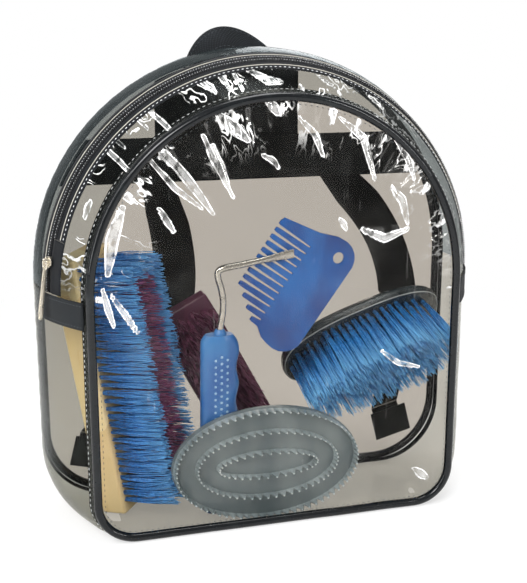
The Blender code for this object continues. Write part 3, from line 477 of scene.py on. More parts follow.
def new_object(name, data):
    made = bpy.data.objects.new(name, data)
    bpy.context.scene.collection.objects.link(made)
    return made


def mesh_of(name, bm, sharp=35.0):
    """A shape as a smooth mesh whose edges of more than the angle stay sharp."""
    mesh = bpy.data.meshes.new(name)
    bm.to_mesh(mesh)
    bm.free()
    mesh.shade_smooth()
    if sharp:
        mesh.set_sharp_from_angle(angle=math.radians(sharp))
    return mesh


def show(name, shape, look, body="bag", nodes="", bend=False, sharp=35.0):
    """A finished piece: its material, the body that it rides on and the nodes it stands for."""
    nodes, slot = nodes.split(), look.slot
    mesh = mesh_of(name, shape, sharp) if isinstance(shape, bmesh.types.BMesh) else shape
    made = new_object(name, mesh)
    mesh.materials.clear()
    mesh.materials.append(look.material)
    if bend:
        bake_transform(made)
    else:
        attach(made, body)
    if nodes:
        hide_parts(*nodes)
    return made


def modifier(piece, kind, **settings):
    made = piece.modifiers.new(kind.title(), kind)
    for key, value in settings.items():
        setattr(made, key, value)
    return piece


def thick(piece, thickness):
    return modifier(piece, "SOLIDIFY", thickness=thickness, offset=0.0, use_even_offset=True)


def sheet(name, rows, look, body="bag", nodes="", thickness=FILM, bend=False, **how):
    """A thin piece through rows of points."""
    return thick(show(name, skin(rows, **how), look, body, nodes, bend, 0), thickness)


def resample(points, count, closed=False):
    """Points at even steps along a line of points."""
    line = np.array([tuple(p) for p in points], float)
    if closed:
        line = np.vstack([line, line[:1]])
    marks = np.concatenate([[0.0], np.cumsum(np.linalg.norm(np.diff(line, axis=0), axis=1))])
    wanted = np.linspace(0.0, marks[-1], count + 1 if closed else count)
    if closed:
        wanted = wanted[:-1]
    found = np.stack([np.interp(wanted, marks, line[:, k]) for k in range(3)], axis=1)
    return [Vector(p) for p in found]


def skin(rows, closed=False, flip=False, values=None):
    """A sheet through rows of points, each row extruded from the last, with UVs in metres and any painted
    highlight strengths.
    """
    bm = bmesh.new()
    layer = bm.loops.layers.uv.new("UVMap")
    glint_layer = bm.verts.layers.float.new("crease")
    count = len(rows[0])
    line = [bm.verts.new(point) for point in rows[0]]
    last = count if closed else count - 1
    edges = [bm.edges.new((line[i], line[(i + 1) % count])) for i in range(last)]
    place = {vert: (i, 0) for i, vert in enumerate(line)}
    for level, row in enumerate(rows[1:], 1):
        made = bmesh.ops.extrude_edge_only(bm, edges=edges)["geom"]
        fresh = {}
        for vert in of_kind(made, bmesh.types.BMVert):
            below = next(e.other_vert(vert) for e in vert.link_edges if e.other_vert(vert) in place)
            fresh[vert] = (place[below][0], level)
        for vert, (column, _) in fresh.items():
            vert.co = row[column]
        edges = [e for e in of_kind(made, bmesh.types.BMEdge) if all(v in fresh for v in e.verts)]
        place.update(fresh)
    middle = rows[len(rows) // 2]
    run_u = [0.0]
    for first, second in zip(middle, middle[1:] + middle[:1]):
        run_u.append(run_u[-1] + (Vector(second) - Vector(first)).length)
    run_v = [0.0]
    for first, second in zip(rows, rows[1:]):
        run_v.append(run_v[-1] + (Vector(second[count // 2]) - Vector(first[count // 2])).length)
    for face in bm.faces:
        columns = [place[loop.vert][0] for loop in face.loops]
        wraps = closed and max(columns) - min(columns) > 1
        for loop in face.loops:
            column, level = place[loop.vert]
            loop[layer].uv = (run_v[level], run_u[count] if wraps and column == 0 else run_u[column])
    # Each point's painted highlight strength, which the vinyl reads as an attribute.
    if values:
        for vert in bm.verts:
            column, level = place[vert]
            vert[glint_layer] = values[level][column]
    if flip:
        bmesh.ops.reverse_faces(bm, faces=bm.faces)
    return bm


def of_kind(found, kind):
    return [item for item in found if isinstance(item, kind)]


def closed_up(bm, place=Matrix()):
    """The shape with its open ends filled and its faces outwards, put in its place."""
    bmesh.ops.holes_fill(bm, edges=[e for e in bm.edges if e.is_boundary], sides=0)
    bmesh.ops.recalc_face_normals(bm, faces=bm.faces)
    bmesh.ops.transform(bm, matrix=place, verts=bm.verts)
    return bm


def raised(bm, faces, height):
    """Extrudes the faces by a height, and gives the new points and faces."""
    made = bmesh.ops.extrude_face_region(bm, geom=faces)["geom"]
    moved = of_kind(made, bmesh.types.BMVert)
    bmesh.ops.translate(bm, vec=(0, 0, height), verts=moved)
    return moved, of_kind(made, bmesh.types.BMFace)


def new_curve(name, dimensions="3D", **settings):
    curve = bpy.data.curves.new(name, "CURVE")
    curve.dimensions = dimensions
    for key, value in settings.items():
        setattr(curve, key, value)
    return curve


def add_spline(curve, points, closed=False, radii=None):
    spline = curve.splines.new("POLY")
    spline.points.add(len(points) - 1)
    for i, (knot, point) in enumerate(zip(spline.points, points)):
        knot.co = (*point, 1.0)
        knot.radius = radii[i] if radii else 1.0
    spline.use_cyclic_u = closed


def curve_mesh(curve):
    held = new_object(curve.name, curve)
    graph = bpy.context.evaluated_depsgraph_get()
    mesh = bpy.data.meshes.new_from_object(held.evaluated_get(graph))
    bpy.data.objects.remove(held)
    bpy.data.curves.remove(curve)
    mesh.shade_smooth()
    return mesh


def tube(points, radius, closed=False, resolution=3, radii=None):
    """The mesh of a round tube along a line of points."""
    curve = new_curve("tube", bevel_depth=radius, bevel_resolution=resolution, use_fill_caps=not closed)
    add_spline(curve, points, closed, radii)
    return curve_mesh(curve)


def copies(name, bm, matrices):
    """One mesh with a copy of a small shape at each place."""
    shape = np.array([tuple(v.co) for v in bm.verts], float)
    faces = [[v.index for v in f.verts] for f in bm.faces]
    bm.free()
    points = []
    polygons = []
    for i, matrix in enumerate(matrices):
        turned = np.array(matrix, float)
        points.append(shape @ turned[:3, :3].T + turned[:3, 3])
        start = i * len(shape)
        polygons.extend([start + k for k in face] for face in faces)
    mesh = bpy.data.meshes.new(name)
    mesh.from_pydata(np.concatenate(points).tolist(), [], polygons)
    mesh.shade_smooth()
    return mesh


def ball(subdivisions=1):
    bm = bmesh.new()
    bmesh.ops.create_icosphere(bm, subdivisions=subdivisions, radius=1.0)
    bm.verts.index_update()
    return bm


def round_off(bm, edges, width, segments, clamp=True):
    bmesh.ops.bevel(
        bm, geom=edges, offset=width, segments=segments, profile=0.5, affect="EDGES", material=-1,
        clamp_overlap=clamp,
    )


def rounded_box(size, width, segments, where, place):
    """A box with rounded edges at a place in a frame, its sizes in millimetres."""
    bm = bmesh.new()
    bmesh.ops.create_cube(bm, size=1.0)
    bmesh.ops.scale(bm, vec=Vector(size) * MM, verts=bm.verts)
    round_off(bm, bm.edges[:], width * MM, segments)
    bmesh.ops.transform(bm, matrix=place @ Matrix.Translation(Vector(where) * MM), verts=bm.verts)
    return bm


def join(*parts):
    """Several small shapes as one."""
    whole = bmesh.new()
    for part in parts:
        held = bpy.data.meshes.new("part")
        part.to_mesh(held)
        part.free()
        whole.from_mesh(held)
        bpy.data.meshes.remove(held)
    return whole


def frame_at(origin, x_axis, y_axis, z_axis):
    return Matrix.Translation(origin) @ Matrix((x_axis, y_axis, z_axis)).transposed().to_4x4()


def stitch(name, runs, size, look, body="bag", bend=False):
    """Thread stitches on runs, each a path and the outward side of its cloth."""
    pitch, long, wide = (part * MM for part in size)
    flat = Matrix.Diagonal((long / 2, wide, wide * 0.8, 1.0))
    places = []
    for path, out in runs:
        length = sum((b - a).length for a, b in zip(path, path[1:]))
        dots = resample(path, max(2, int(length / pitch)) * 2 + 1)
        for first, last in zip(dots[:-1:2], dots[1::2]):
            along = (last - first).normalized()
            middle = (last + first) / 2
            normal = out(middle) if callable(out) else out
            across = normal.cross(along).normalized()
            places.append(frame_at(middle, along, across, along.cross(across)) @ flat)
    return show(name, copies(name, ball(), places), look, body, bend=bend)


def boxed_cross(centre, across, along, out, wide, long):
    """The runs of a boxed cross of stitches."""
    corners = [
        centre + across * (sx * wide / 2) + along * (sy * long / 2)
        for sx, sy in ((-1, -1), (1, -1), (1, 1), (-1, 1))
    ]
    pairs = ((0, 1), (1, 2), (2, 3), (3, 0), (0, 2), (1, 3))
    return [([corners[i], corners[j]], out) for i, j in pairs]


# Stitch sizes in millimetres: pitch, length and half width
SEAM_STITCH = (4.2, 2.6, 0.30)
EDGE_STITCH = (4.4, 2.4, 0.26)
# White dots over the coil: sewing thread that also stands in for the coil's painted highlights.
COIL_STITCH_AND_GLINT = (2.1, 0.75, 0.34)
TAPE_STITCH = (3.6, 2.0, 0.42)
TAB_STITCH = (3.2, 2.1, 0.28)
CLOTH_STITCH = (3.4, 2.2, 0.26)
PATCH_STITCH = (3.2, 2.1, 0.26)
BOX_STITCH = (3.0, 2.0, 0.28)
PAD_STITCH = (3.6, 2.4, 0.28)


# The bag's outline


def rim(y):
    """Half-width of the gusset's outer face at depth y."""
    a, b, c = -HALF_DEPTH, ZIP_Y, HALF_DEPTH
    first = (ZIP_HALF - FRONT_HALF) / (b - a)
    second = (REAR_HALF - ZIP_HALF) / (c - b)
    return FRONT_HALF + first * (y - a) + (second - first) / (c - a) * (y - a) * (y - b)


def corner(y):
    """Radius of the gusset's lower corners at depth y."""
    return FRONT_CORNER + (REAR_CORNER - FRONT_CORNER) * (y + HALF_DEPTH) / (2 * HALF_DEPTH)


def arc(centre_x, centre_z, radius, low, high, y, count=24):
    angles = [math.radians(angle) for angle in steps(low, high, count)]
    return [Vector((centre_x + radius * math.cos(a), y, centre_z + radius * math.sin(a))) for a in angles]


def arch(radius, y, count, low=0.0, high=180.0):
    return resample(arc(0.0, ARCH_Z + GAP, radius, low, high, y, ARC_POINTS), count)


def under(radius, turn, base, y, count):
    """Points from the left spring of the arch, under the base, to the right spring."""
    line = [Vector((-radius, y, ARCH_Z))]
    line += arc(turn - radius, base + turn, turn, 180, 270, y)
    line += arc(radius - turn, base + turn, turn, 270, 360, y)
    line.append(Vector((radius, y, ARCH_Z)))
    return resample(line, count)


def outline(radius, turn, base, y, count):
    """The closed outline, from the right spring over the arch and under the base."""
    line = arc(0.0, ARCH_Z, radius, 0, 180, y, ARC_POINTS)[:-1]
    line += under(radius, turn, base, y, 200)[:-1]
    return resample(line, count, closed=True)


def gusset_outline(y, inset, count):
    return outline(rim(y) - inset, corner(y) - inset, inset, y, count)


def outward(point):
    """The gusset's outward direction at a point."""
    if point.z >= ARCH_Z:
        return Vector((point.x, 0.0, point.z - ARCH_Z)).normalized()
    turn = corner(point.y)
    side = max(0.0, abs(point.x) - (rim(point.y) - turn))
    found = Vector((math.copysign(side, point.x), 0.0, -max(0.0, turn - point.z)))
    return found.normalized() if found.length > 1e-9 else -UP


def ripple(point, scale, seed):
    return noise.noise(Vector(point) * scale + Vector((seed, 0.3, -seed)))


def field(rows, lines):
    """How strongly each point lies on one of the fold lines, from 0 to 1, as a painted highlight, and how
    far it is raised.
    """
    spots = np.array([(p.x, p.z) for row in rows for p in row]) / MM
    mark = np.zeros(len(spots))
    lift = np.zeros(len(spots))
    for line, half, shine, rise in lines:
        best = np.full(len(spots), 1e9)
        total = len(line) - 1
        along = np.zeros(len(spots))
        for i in range(total):
            a, b = np.array(line[i], float), np.array(line[i + 1], float)
            share = np.clip(((spots - a) @ (b - a)) / max((b - a) @ (b - a), 1e-9), 0, 1)
            away = np.linalg.norm(spots - (a + share[:, None] * (b - a)), axis=1)
            nearer = away < best
            best = np.where(nearer, away, best)
            along = np.where(nearer, (i + share) / total, along)
        width = half * (0.35 + 0.65 * np.sin(np.pi * np.clip(along, 0.04, 0.96)))
        level = np.clip(1 - best / width, 0, 1)
        mark = np.maximum(mark, shine * level * level * (3 - 2 * level))
        wide = np.clip(1 - best / (width * 2.2), 0, 1)
        lift = lift + rise * wide * wide * (3 - 2 * wide)
    shape = (len(rows), len(rows[0]))
    return np.clip(mark, 0, 1).reshape(shape).tolist(), lift.reshape(shape)


# Fold lines on the front sheet: points in millimetres, half width, brightness of the painted highlight,
# rise in millimetres
FRONT_FOLDS = (
    (((-97, 306), (-77, 284), (-65, 268), (-54, 252)), 4.6, 1.0, 1.4),
    (((-99, 293), (-81, 271), (-62, 256)), 3.0, 0.95, 1.0),
    (((-59, 307), (-52, 290), (-38, 262)), 3.2, 0.95, 1.2),
    (((-48, 322), (-37, 312), (-27, 303)), 6.5, 0.9, 1.2),
    (((-52, 300), (-46, 284), (-42, 272)), 2.8, 0.9, 0.6),
    (((-12, 331), (-7, 326), (-4, 321)), 5.0, 1.0, 0.9),
    (((-118, 258), (-126, 236), (-130, 211)), 6.5, 0.95, 1.4),
    (((-134, 200), (-131, 186), (-127, 172)), 3.2, 1.0, 0.5),
    (((-128, 195), (-119, 181), (-110, 166)), 3.0, 0.95, 0.6),
    (((-92, 256), (-82, 239)), 3.2, 0.95, 0.7),
    (((44, 317), (62, 302), (71, 271)), 3.8, 1.0, 1.2),
    (((85, 264), (94, 255), (99, 237)), 4.4, 1.0, 1.0),
    (((61, 234), (80, 226), (99, 232)), 4.2, 1.0, 0.8),
    (((43, 244), (49, 235)), 3.0, 0.95, 0.5),
    (((80, 137), (94, 126), (112, 121)), 2.8, 0.9, 0.8),
    (((112, 34), (119, 28), (124, 24)), 5.0, 0.95, 0.4),
    (((-104, 300), (-112, 290)), 2.4, 0.9, 0.8),
    (((-108, 283), (-116, 276)), 2.0, 0.8, 0.7),
    (((12, 318), (24, 306), (30, 290)), 3.4, 0.95, 0.8),
    (((-16, 292), (-8, 288), (-4, 282)), 3.0, 0.95, 0.7),
    (((88, 300), (98, 286), (104, 270)), 3.4, 0.95, 0.9),
)
# Fold lines of painted highlights on the front strip, in the same columns.
STRIP_FOLDS = (
    (((-130, 303), (-118, 290), (-108, 279)), 2.6, 0.9, 0.0),
    (((-122, 309), (-112, 297)), 2.0, 0.9, 0.0),
    (((-96, 328), (-87, 317), (-80, 309)), 2.6, 0.9, 0.0),
    (((-104, 321), (-96, 311)), 2.0, 0.8, 0.0),
    (((-57, 348), (-46, 336)), 3.4, 1.0, 0.0),
    (((-41, 350), (-36, 338)), 2.4, 1.0, 0.0),
    (((-30, 351), (-28, 338)), 2.0, 1.0, 0.0),
    (((-20, 352), (-8, 344), (2, 343)), 4.2, 0.9, 0.0),
    (((-143, 250), (-138, 262)), 2.4, 0.9, 0.0),
    (((34, 346), (44, 338)), 2.0, 0.8, 0.0),
    (((74, 332), (84, 322)), 2.0, 0.8, 0.0),
)


# Clear sheets


def panel(radius, turn, y, count, scales):
    """A panel's outline inside its welt, and rows of points that run in from it to the middle."""
    ring = outline(radius, turn - PIPING_SIDE - PIPING_RADIUS, BASE_Z + PIPING_RADIUS, y, count)
    middle = (BASE_Z + ARCH_Z + radius) / 2
    return ring, [[Vector((p.x * s, p.y, middle + (p.z - middle) * s)) for p in ring] for s in scales]


def closed_middle(bm):
    """Fills the small hole that the innermost row leaves."""

    def near(v):
        return abs(v.co.x) < 5 * MM and abs(v.co.z - ARCH_Z) < 40 * MM

    hole = [e for e in bm.edges if e.is_boundary and all(near(v) for v in e.verts)]
    bmesh.ops.holes_fill(bm, edges=hole, sides=0)
    return bm


def front_sheet():
    """The crowned front, puckered at its sewn edge and creased where it was folded, with painted highlights
    on its folds and puckers.
    """
    crowned, gathered_over, seam_over = 7 * MM, 11 * MM, 1.2 * MM
    radius = FRONT_RING - PIPING_RADIUS + 0.6 * MM
    scales = [1.0 - 0.16 * share ** 1.2 for share in steps(0.0, 1.0, 20)] + steps(0.84, 0.02, 58)[1:]
    ring, rows = panel(radius, FRONT_CORNER, -HALF_DEPTH, 500, scales)
    # Painted highlight strengths along the fold lines.
    values, lifts = field(rows, FRONT_FOLDS)
    for level, (scale, row) in enumerate(zip(scales, rows)):
        inward = (1 - scale) * radius
        crown = crowned * (1 - scale * scale)
        gathered = math.exp(-inward / gathered_over) * (1 - math.exp(-inward / seam_over))
        for i, p in enumerate(row):
            high = clamp((ring[i].z - 0.11) / 0.12, 0.12)
            wave = math.sin(i * 0.86 + 5.0 * ripple(ring[i], 22, 3.0))
            pucker = 1.5 * MM * gathered * wave * high * (0.6 + ripple(ring[i], 60, 8.0))
            broad = 2.2 * MM * ripple(p, 13, 1.0) + 0.55 * MM * ripple(p, 48, 5.0)
            broad = broad * (1 - scale * scale) ** 0.5
            fold = lifts[level][i] * MM * min(1.0, inward / (3 * MM))
            p.y -= crown + pucker + broad * 0.8 + fold
            # Painted highlights on the crests of the puckers.
            if gathered * high * wave > 0.35:
                glint = 0.75 * gathered * max(0.0, ripple(ring[i], 70, 2.0)) * 2
                values[level][i] = max(values[level][i], glint)
    bm = closed_middle(skin(rows, closed=True, values=values))
    nodes = "front_panel_lower front_panel_upper"
    thick(show("front_sheet", bm, CLEAR_FRONT, None, nodes, True, 0), FILM)


def rear_sheet():
    """The back, drawn tight behind the yoke and slack below it."""
    radius = REAR_RING - PIPING_RADIUS + 0.4 * MM
    scales = steps(1.0, 0.02, 30)
    _, rows = panel(radius, REAR_CORNER, HALF_DEPTH, 320, scales)
    for scale, row in zip(scales, rows):
        drawn = 0.25 * MM * math.exp(-(1 - scale) * radius / (9 * MM))
        for i, q in enumerate(row):
            low = clamp((0.255 - q.z) / 0.03)
            q.y += (0.9 * MM * ripple(q, 16, 4.0) * (1 - scale * scale) + drawn * math.sin(i * 1.3)) * low
    bm = closed_middle(skin(rows, closed=True, flip=True))
    thick(show("rear_sheet", bm, CLEAR_BACK, "bag", "back_panel", sharp=0), FILM)


def swell(rows, depth, seed, fine=0.9):
    """Soft waves and edge puckers that push a gusset's skin in and out."""
    for share, row in zip(steps(0.0, 1.0, len(rows) - 1), rows):
        edge = math.exp(-share * 7) + math.exp(-(1 - share) * 7)
        inner = math.sin(math.pi * share)
        for i, p in enumerate(row):
            pucker = math.sin(i * fine + 4 * ripple(p, 30, seed + 1))
            wave = ripple(p, 26, seed) * inner + 0.5 * edge * pucker
            foot = 0.0 if p.z < 6 * MM and abs(p.x) < 0.12 else 1.0
            p += outward(p) * (wave * depth * foot * min(1.0, inner * 3 + 0.1))
    return rows


def side_sheets():
    """The gusset below the arch, and the clear strips behind the zip and in front of it."""
    inset = SKIN / 2
    seam = TAPE_HALF - 1 * MM
    rows = [under(rim(y) - inset, corner(y) - inset, inset, y, 330) for y in steps(-EDGE_Y, EDGE_Y, 26)]
    sheet("side_sheet", swell(rows, 0.8 * MM, 2.0), CLEAR_SIDE, "bag", "lower_gusset", flip=True)
    rows = [arch(rim(y) - inset, y, 280) for y in steps(ZIP_Y + seam, EDGE_Y, 14)]
    sheet("rear_strip_sheet", swell(rows, 0.8 * MM, 6.0), CLEAR_STRIP, "bag", "rear_strip")
    rows = [arch(rim(y) - inset, y, 280) for y in steps(-EDGE_Y, ZIP_Y - seam, 10)]
    rows = swell(rows, 1.0 * MM, 9.0, 1.1)
    # Painted highlights along the folds of the front strip.
    marks, _ = field(rows, STRIP_FOLDS)
    sheet("front_strip_sheet", rows, CLEAR_FLAP, "front_flap", "front_strip", values=marks)


# Welts, binding and the zip


def welts():
    """Round black welts at the front and rear rims, with a bound and stitched seam beside each."""
    for label, radius, turn, y, nodes, bend in (
        ("front", FRONT_RING, FRONT_CORNER, -HALF_DEPTH, "front_piping_lower front_piping_upper", True),
        ("rear", REAR_RING, REAR_CORNER, HALF_DEPTH, "rear_piping", False),
    ):
        ring = outline(radius, turn - PIPING_SIDE, BASE_Z, y, RIM_POINTS)
        if bend:
            for p in ring:
                p.y -= 0.35 * MM * ripple(p, 40, 1.0)
        welt = tube(ring, WELT_RADIUS, closed=True, resolution=4)
        show(label + "_welt", welt, WELT, "bag", nodes, bend)
    seams = (
        ("front", -EDGE_Y + 0.2 * MM, 4.0 * MM, WHITE_THREAD, True),
        ("rear", EDGE_Y - 5.2 * MM, 5.0 * MM, GREY_THREAD, False),
    )
    for label, start, wide, _, bend in seams:
        rows = []
        for share in steps(0.0, 1.0, 4):
            row = gusset_outline(start + wide * share, SKIN + 0.5 * MM, RIM_POINTS)
            for k, p in enumerate(row):
                p -= outward(p) * (0.35 * MM * (0.5 + 0.5 * math.sin(k * 0.9)) * math.sin(math.pi * share))
            rows.append(row)
        sheet(label + "_seam_binding", rows, WELT, "bag", "", 0.6 * MM, bend, closed=True)
    for label, start, wide, sewn, bend in seams:
        path = gusset_outline(start + wide / 2, 0.25 * MM, SEAM_POINTS)
        stitch(label + "_seam_stitches", [(path, outward)], SEAM_STITCH, sewn, "bag", bend)
    inset = 5.2 * MM
    turn = FRONT_CORNER - 8.5 * MM
    path = outline(FRONT_RING - inset, turn, BASE_Z + inset, -HALF_DEPTH - 1.0 * MM, SEAM_POINTS)
    stitch("front_edge_stitches", [(path, -BACK)], EDGE_STITCH, GREY_THREAD, None, True)


def coil(name, side, low, high, body, node):
    """The zip's coil: a wound line whose turns hook round its own side of the chain."""
    y = ZIP_Y + side * 2.0 * MM
    radius = rim(y) - 0.1 * MM
    count = int(math.radians(high - low) * radius / (1.55 * MM)) * 8
    points = []
    for i, degrees in enumerate(steps(low, high, count)):
        angle = math.radians(degrees)
        wind = 2 * math.pi * i / 8
        away = radius + 1.05 * MM * math.sin(wind)
        over = 1.5 * MM * math.cos(wind)
        points.append(Vector((away * math.cos(angle), y + over, ARCH_Z + GAP + away * math.sin(angle))))
    show(name, tube(points, 0.42 * MM, resolution=1), COIL, body, node)


def zip_chain():
    """The tapes and their closed ends, the two coils, and the stitches and cut edges beside them."""
    low, high = 14.0, 166.0
    halves = (("front", -1, "front_flap", low, high), ("rear", 1, "bag", 0, 180))
    front = (ZIP_Y - TAPE_HALF, ZIP_Y - 0.5 * MM)
    rear = (ZIP_Y + 0.5 * MM, ZIP_Y + TAPE_HALF)
    for name, edges, first, last, body, node, count in (
        ("front_tape", front, low, high, "front_flap", "zip_tape_front", 240),
        ("rear_tape", rear, 0, 180, "bag", "zip_tape_rear", 280),
        ("tape_end_right", front, 0, low - 0.1, "bag", "zip_tape_end_right", 24),
        ("tape_end_left", front, high + 0.1, 180, "bag", "zip_tape_end_left", 24),
    ):
        rows = [arch(rim(y) - 0.3 * MM, y, count, first, last) for y in steps(*edges, 6)]
        sheet(name, rows, TAPE, body, node, 0.6 * MM)
    for label, side, body, first, last in halves:
        coil(label + "_coil", side, first, last, body, "zip_teeth_" + label)
    for label, side, body, first, last in halves:
        # White dots over the coil: its sewing thread and painted highlights of its turns.
        y = ZIP_Y + side * 2.2 * MM
        path = arch(rim(y) + 1.2 * MM, y, 300, first, last)
        stitch(label + "_coil_stitches", [(path, outward)], COIL_STITCH_AND_GLINT, WHITE_THREAD, body)
        # Pale cut edges of the film, partly painted highlight.
        y = ZIP_Y + side * 8.0 * MM
        path = arch(rim(y) + 0.1 * MM, y, 200, first + 0.3, last - 0.3)
        show(label + "_vinyl_edge", tube(path, 0.36 * MM, resolution=2), CUT_EDGE_AND_SHEEN, body)
    y = ZIP_Y - 11.0 * MM
    path = arch(rim(y) + 0.12 * MM, y, 300, low, high)
    stitch("front_tape_stitches", [(path, outward)], TAPE_STITCH, WHITE_THREAD, "front_flap")


def end_tabs():
    """Textured tabs folded over the zip's ends, hemmed and stitched along both edges."""
    last_y = ZIP_Y + TAPE_HALF
    low = ARCH_Z - TAB_HEIGHT
    for side, label in SIDES:
        rows = []
        for y in steps(-EDGE_Y, last_y, 20):
            row = []
            for share in steps(0.0, 1.0, 14):
                z = low + (TAB_HEIGHT - GAP) * share
                hem = 0.35 * MM * (math.exp(-share * 9) + math.exp(-(1 - share) * 9))
                x = rim(y) + 1.0 * MM + hem + 0.25 * MM * noise.noise(Vector((y * 90, z * 110, side)))
                row.append(Vector((side * x, y, z)))
            rows.append(row)
        name = "end_tab_" + label
        sheet(name, rows, TAB_CLOTH, "bag", "zip_end_tab_" + label, 0.9 * MM, flip=side < 0)
        runs = []
        for height in (2.2 * MM, 18.0 * MM):
            ys = steps(-EDGE_Y + 1 * MM, last_y - 1 * MM, 29)
            path = [Vector((side * (rim(y) + 1.75 * MM), y, low + height)) for y in ys]
            runs.append((path, RIGHT * side))
        stitch(name + "_stitches", runs, TAB_STITCH, GREY_THREAD)


ZIP_FRAME = Matrix((
    (-0.13917, 0.38204, -0.91361, -0.16637),
    (0.0, -0.92258, -0.38579, -0.012),
    (-0.99027, -0.05369, 0.1284, 0.21368),
    (0, 0, 0, 1),
))


def slider_plate(height):
    """A waisted plate of the slider, its middle at a height in millimetres."""
    bm = bmesh.new()
    bmesh.ops.create_circle(bm, segments=28, radius=1.0, cap_ends=True)
    for v in bm.verts:
        angle = math.atan2(v.co.y, v.co.x)
        across = 4.5 * (1.0 - 0.16 * math.cos(2 * angle) + 0.05 * math.cos(angle))
        v.co = Vector((4.4 * math.cos(angle), across * math.sin(angle), height - 0.6)) * MM
    raised(bm, bm.faces[:], 1.2 * MM)
    bmesh.ops.recalc_face_normals(bm, faces=bm.faces)
    flat = [e for e in bm.edges if abs(e.verts[0].co.z - e.verts[1].co.z) < 1e-7]
    round_off(bm, [e for e in flat if len(e.link_faces) == 2], 0.3 * MM, 2, clamp=False)
    return bm


def slider():
    """The zip's slider: two waisted plates on a post, a bail and a long framed pull."""
    over, below = 1.6, 2.2
    foot = over + 1.2
    still = Matrix()
    body = join(
        slider_plate(over + 0.6), slider_plate(-below - 0.6),
        rounded_box((3.0, 0.7, over + below + 1.0), 0.15, 2, (-2.6, 0, (over - below) / 2), still),
        rounded_box((6.0, 1.6, 0.8), 0.3, 2, (0.4, 0, foot), still),
    )
    bmesh.ops.transform(body, matrix=ZIP_FRAME, verts=body.verts)
    show("slider_body", body, ZINC, "slider", "zip_slider")
    line = []
    for angle in steps(0.0, math.pi, 24):
        height = foot + 0.3 + 3.2 * math.sin(angle) ** 0.7
        line.append(ZIP_FRAME @ (Vector((-3.0 * math.cos(angle), 0.0, height)) * MM))
    show("slider_bail", tube(line, 0.62 * MM), ZINC, "slider", "zip_bail")
    half = ((-0.6, -1.2), (0.2, -2.2), (4.2, -2.4), (5.6, -1.3))
    eye = [half[0]] + [(x, -y) for x, y in half] + list(half[:0:-1])
    smooth = resample([Vector((x, y, 0)) * MM for x, y in eye], 40, closed=True)
    ring = bmesh.new()
    ring.from_mesh(tube(smooth, 0.72 * MM, closed=True, resolution=2))
    tongue = bmesh.new()
    bmesh.ops.create_grid(tongue, x_segments=14, y_segments=4, size=0.5)
    for v in tongue.verts:
        share = v.co.x + 0.5
        width = 4.4 + 1.5 * share ** 2
        end = 1.0 - max(0.0, (abs(share - 0.5) - 0.40) / 0.10) ** 2 * 0.45
        v.co = Vector((5.2 + 38.6 * share, v.co.y * width * end, -0.6)) * MM
    raised(tongue, tongue.faces[:], 1.2 * MM)
    bmesh.ops.recalc_face_normals(tongue, faces=tongue.faces)
    for sign in (1, -1):
        faces = [f for f in tongue.faces if f.normal.z * sign > 0.9]
        bmesh.ops.inset_region(tongue, faces=faces, thickness=0.9 * MM, depth=0.0)
        bmesh.ops.inset_region(tongue, faces=faces, thickness=0.25 * MM, depth=-0.35 * MM)
    pull = join(ring, tongue)
    pivot = ZIP_FRAME @ Matrix.Translation((0, 0, (foot + 1.2) * MM + GAP))
    bmesh.ops.transform(pull, matrix=pivot, verts=pull.verts)
    show("pull_tongue", pull, ZINC, "pull", "zip_pull")


# Yoke, patch, carrying loop and straps


def reach_at(z):
    """Half-width of the back panel at a height."""
    return math.sqrt(max(1e-8, BACK_REACH ** 2 - max(0.0, z - ARCH_Z) ** 2))


def back_cloth(name, low, high, left, right, node, hems):
    """A cloth piece sewn flat on the back panel, cut to the arch and raised at its hems."""
    rows = []
    for z in steps(low, high, 26):
        fold = 0.45 * MM * sum(hump(z - hem, 1.3 * MM) for hem in hems)
        row = []
        for x in steps(max(left, -reach_at(z)), min(right, reach_at(z)), 100):
            wave = 0.175 * MM * noise.noise(Vector((x * 40, z * 40, 2.0)))
            row.append(Vector((x, BACK_Y + fold + wave, z)))
        rows.append(row)
    sheet(name, rows, CANVAS, "bag", node, SHOWN_CLOTH, flip=True)


def yoke():
    """The band across the back and the patch above it, sewn through the panel."""
    low, high = 260.1 * MM, 295.9 * MM
    back_cloth("yoke", low, high, -1.0, 1.0, "yoke_band", (low + 7 * MM, high - 3 * MM))
    back_cloth("patch", 295.8 * MM, 357.0 * MM, -75 * MM, 44 * MM, "loop_patch", (302 * MM,))
    band_runs, patch_runs = [], []
    for way in (1, -1):
        for z in (low + 2.2 * MM, low + 6.2 * MM, high - 2.2 * MM):
            x, y = reach_at(z) - 2 * MM, BACK_Y + way * 0.75 * MM
            band_runs.append(([Vector((-x, y, z)), Vector((x, y, z))], BACK * way))
        for x in (-72.0 * MM, 41.0 * MM):
            y = BACK_Y + way * 0.7 * MM
            patch_runs.append(([Vector((x, y, 300 * MM)), Vector((x, y, 346 * MM))], BACK * way))
    stitch("yoke_stitches", band_runs, CLOTH_STITCH, GREY_THREAD)
    stitch("patch_stitches", patch_runs, PATCH_STITCH, GREY_THREAD)


def band(name, stations, width, body, nodes="", look=WEBBING, thickness=WEB_THICK, edge=0.0):
    """Flat webbing through stations of centre, across and outward directions."""
    rows = []
    for centre, across, out in stations:
        shares = [share - 0.5 for share in steps(0.0, 1.0, 8)]
        rows.append([centre + across * (s * width) - out * (edge * (abs(s) * 2) ** 4) for s in shares])
    piece = sheet(name, rows, look, body, nodes, thickness)
    modifier(piece, "BEVEL", width=thickness * 0.3, segments=2, limit_method="ANGLE")


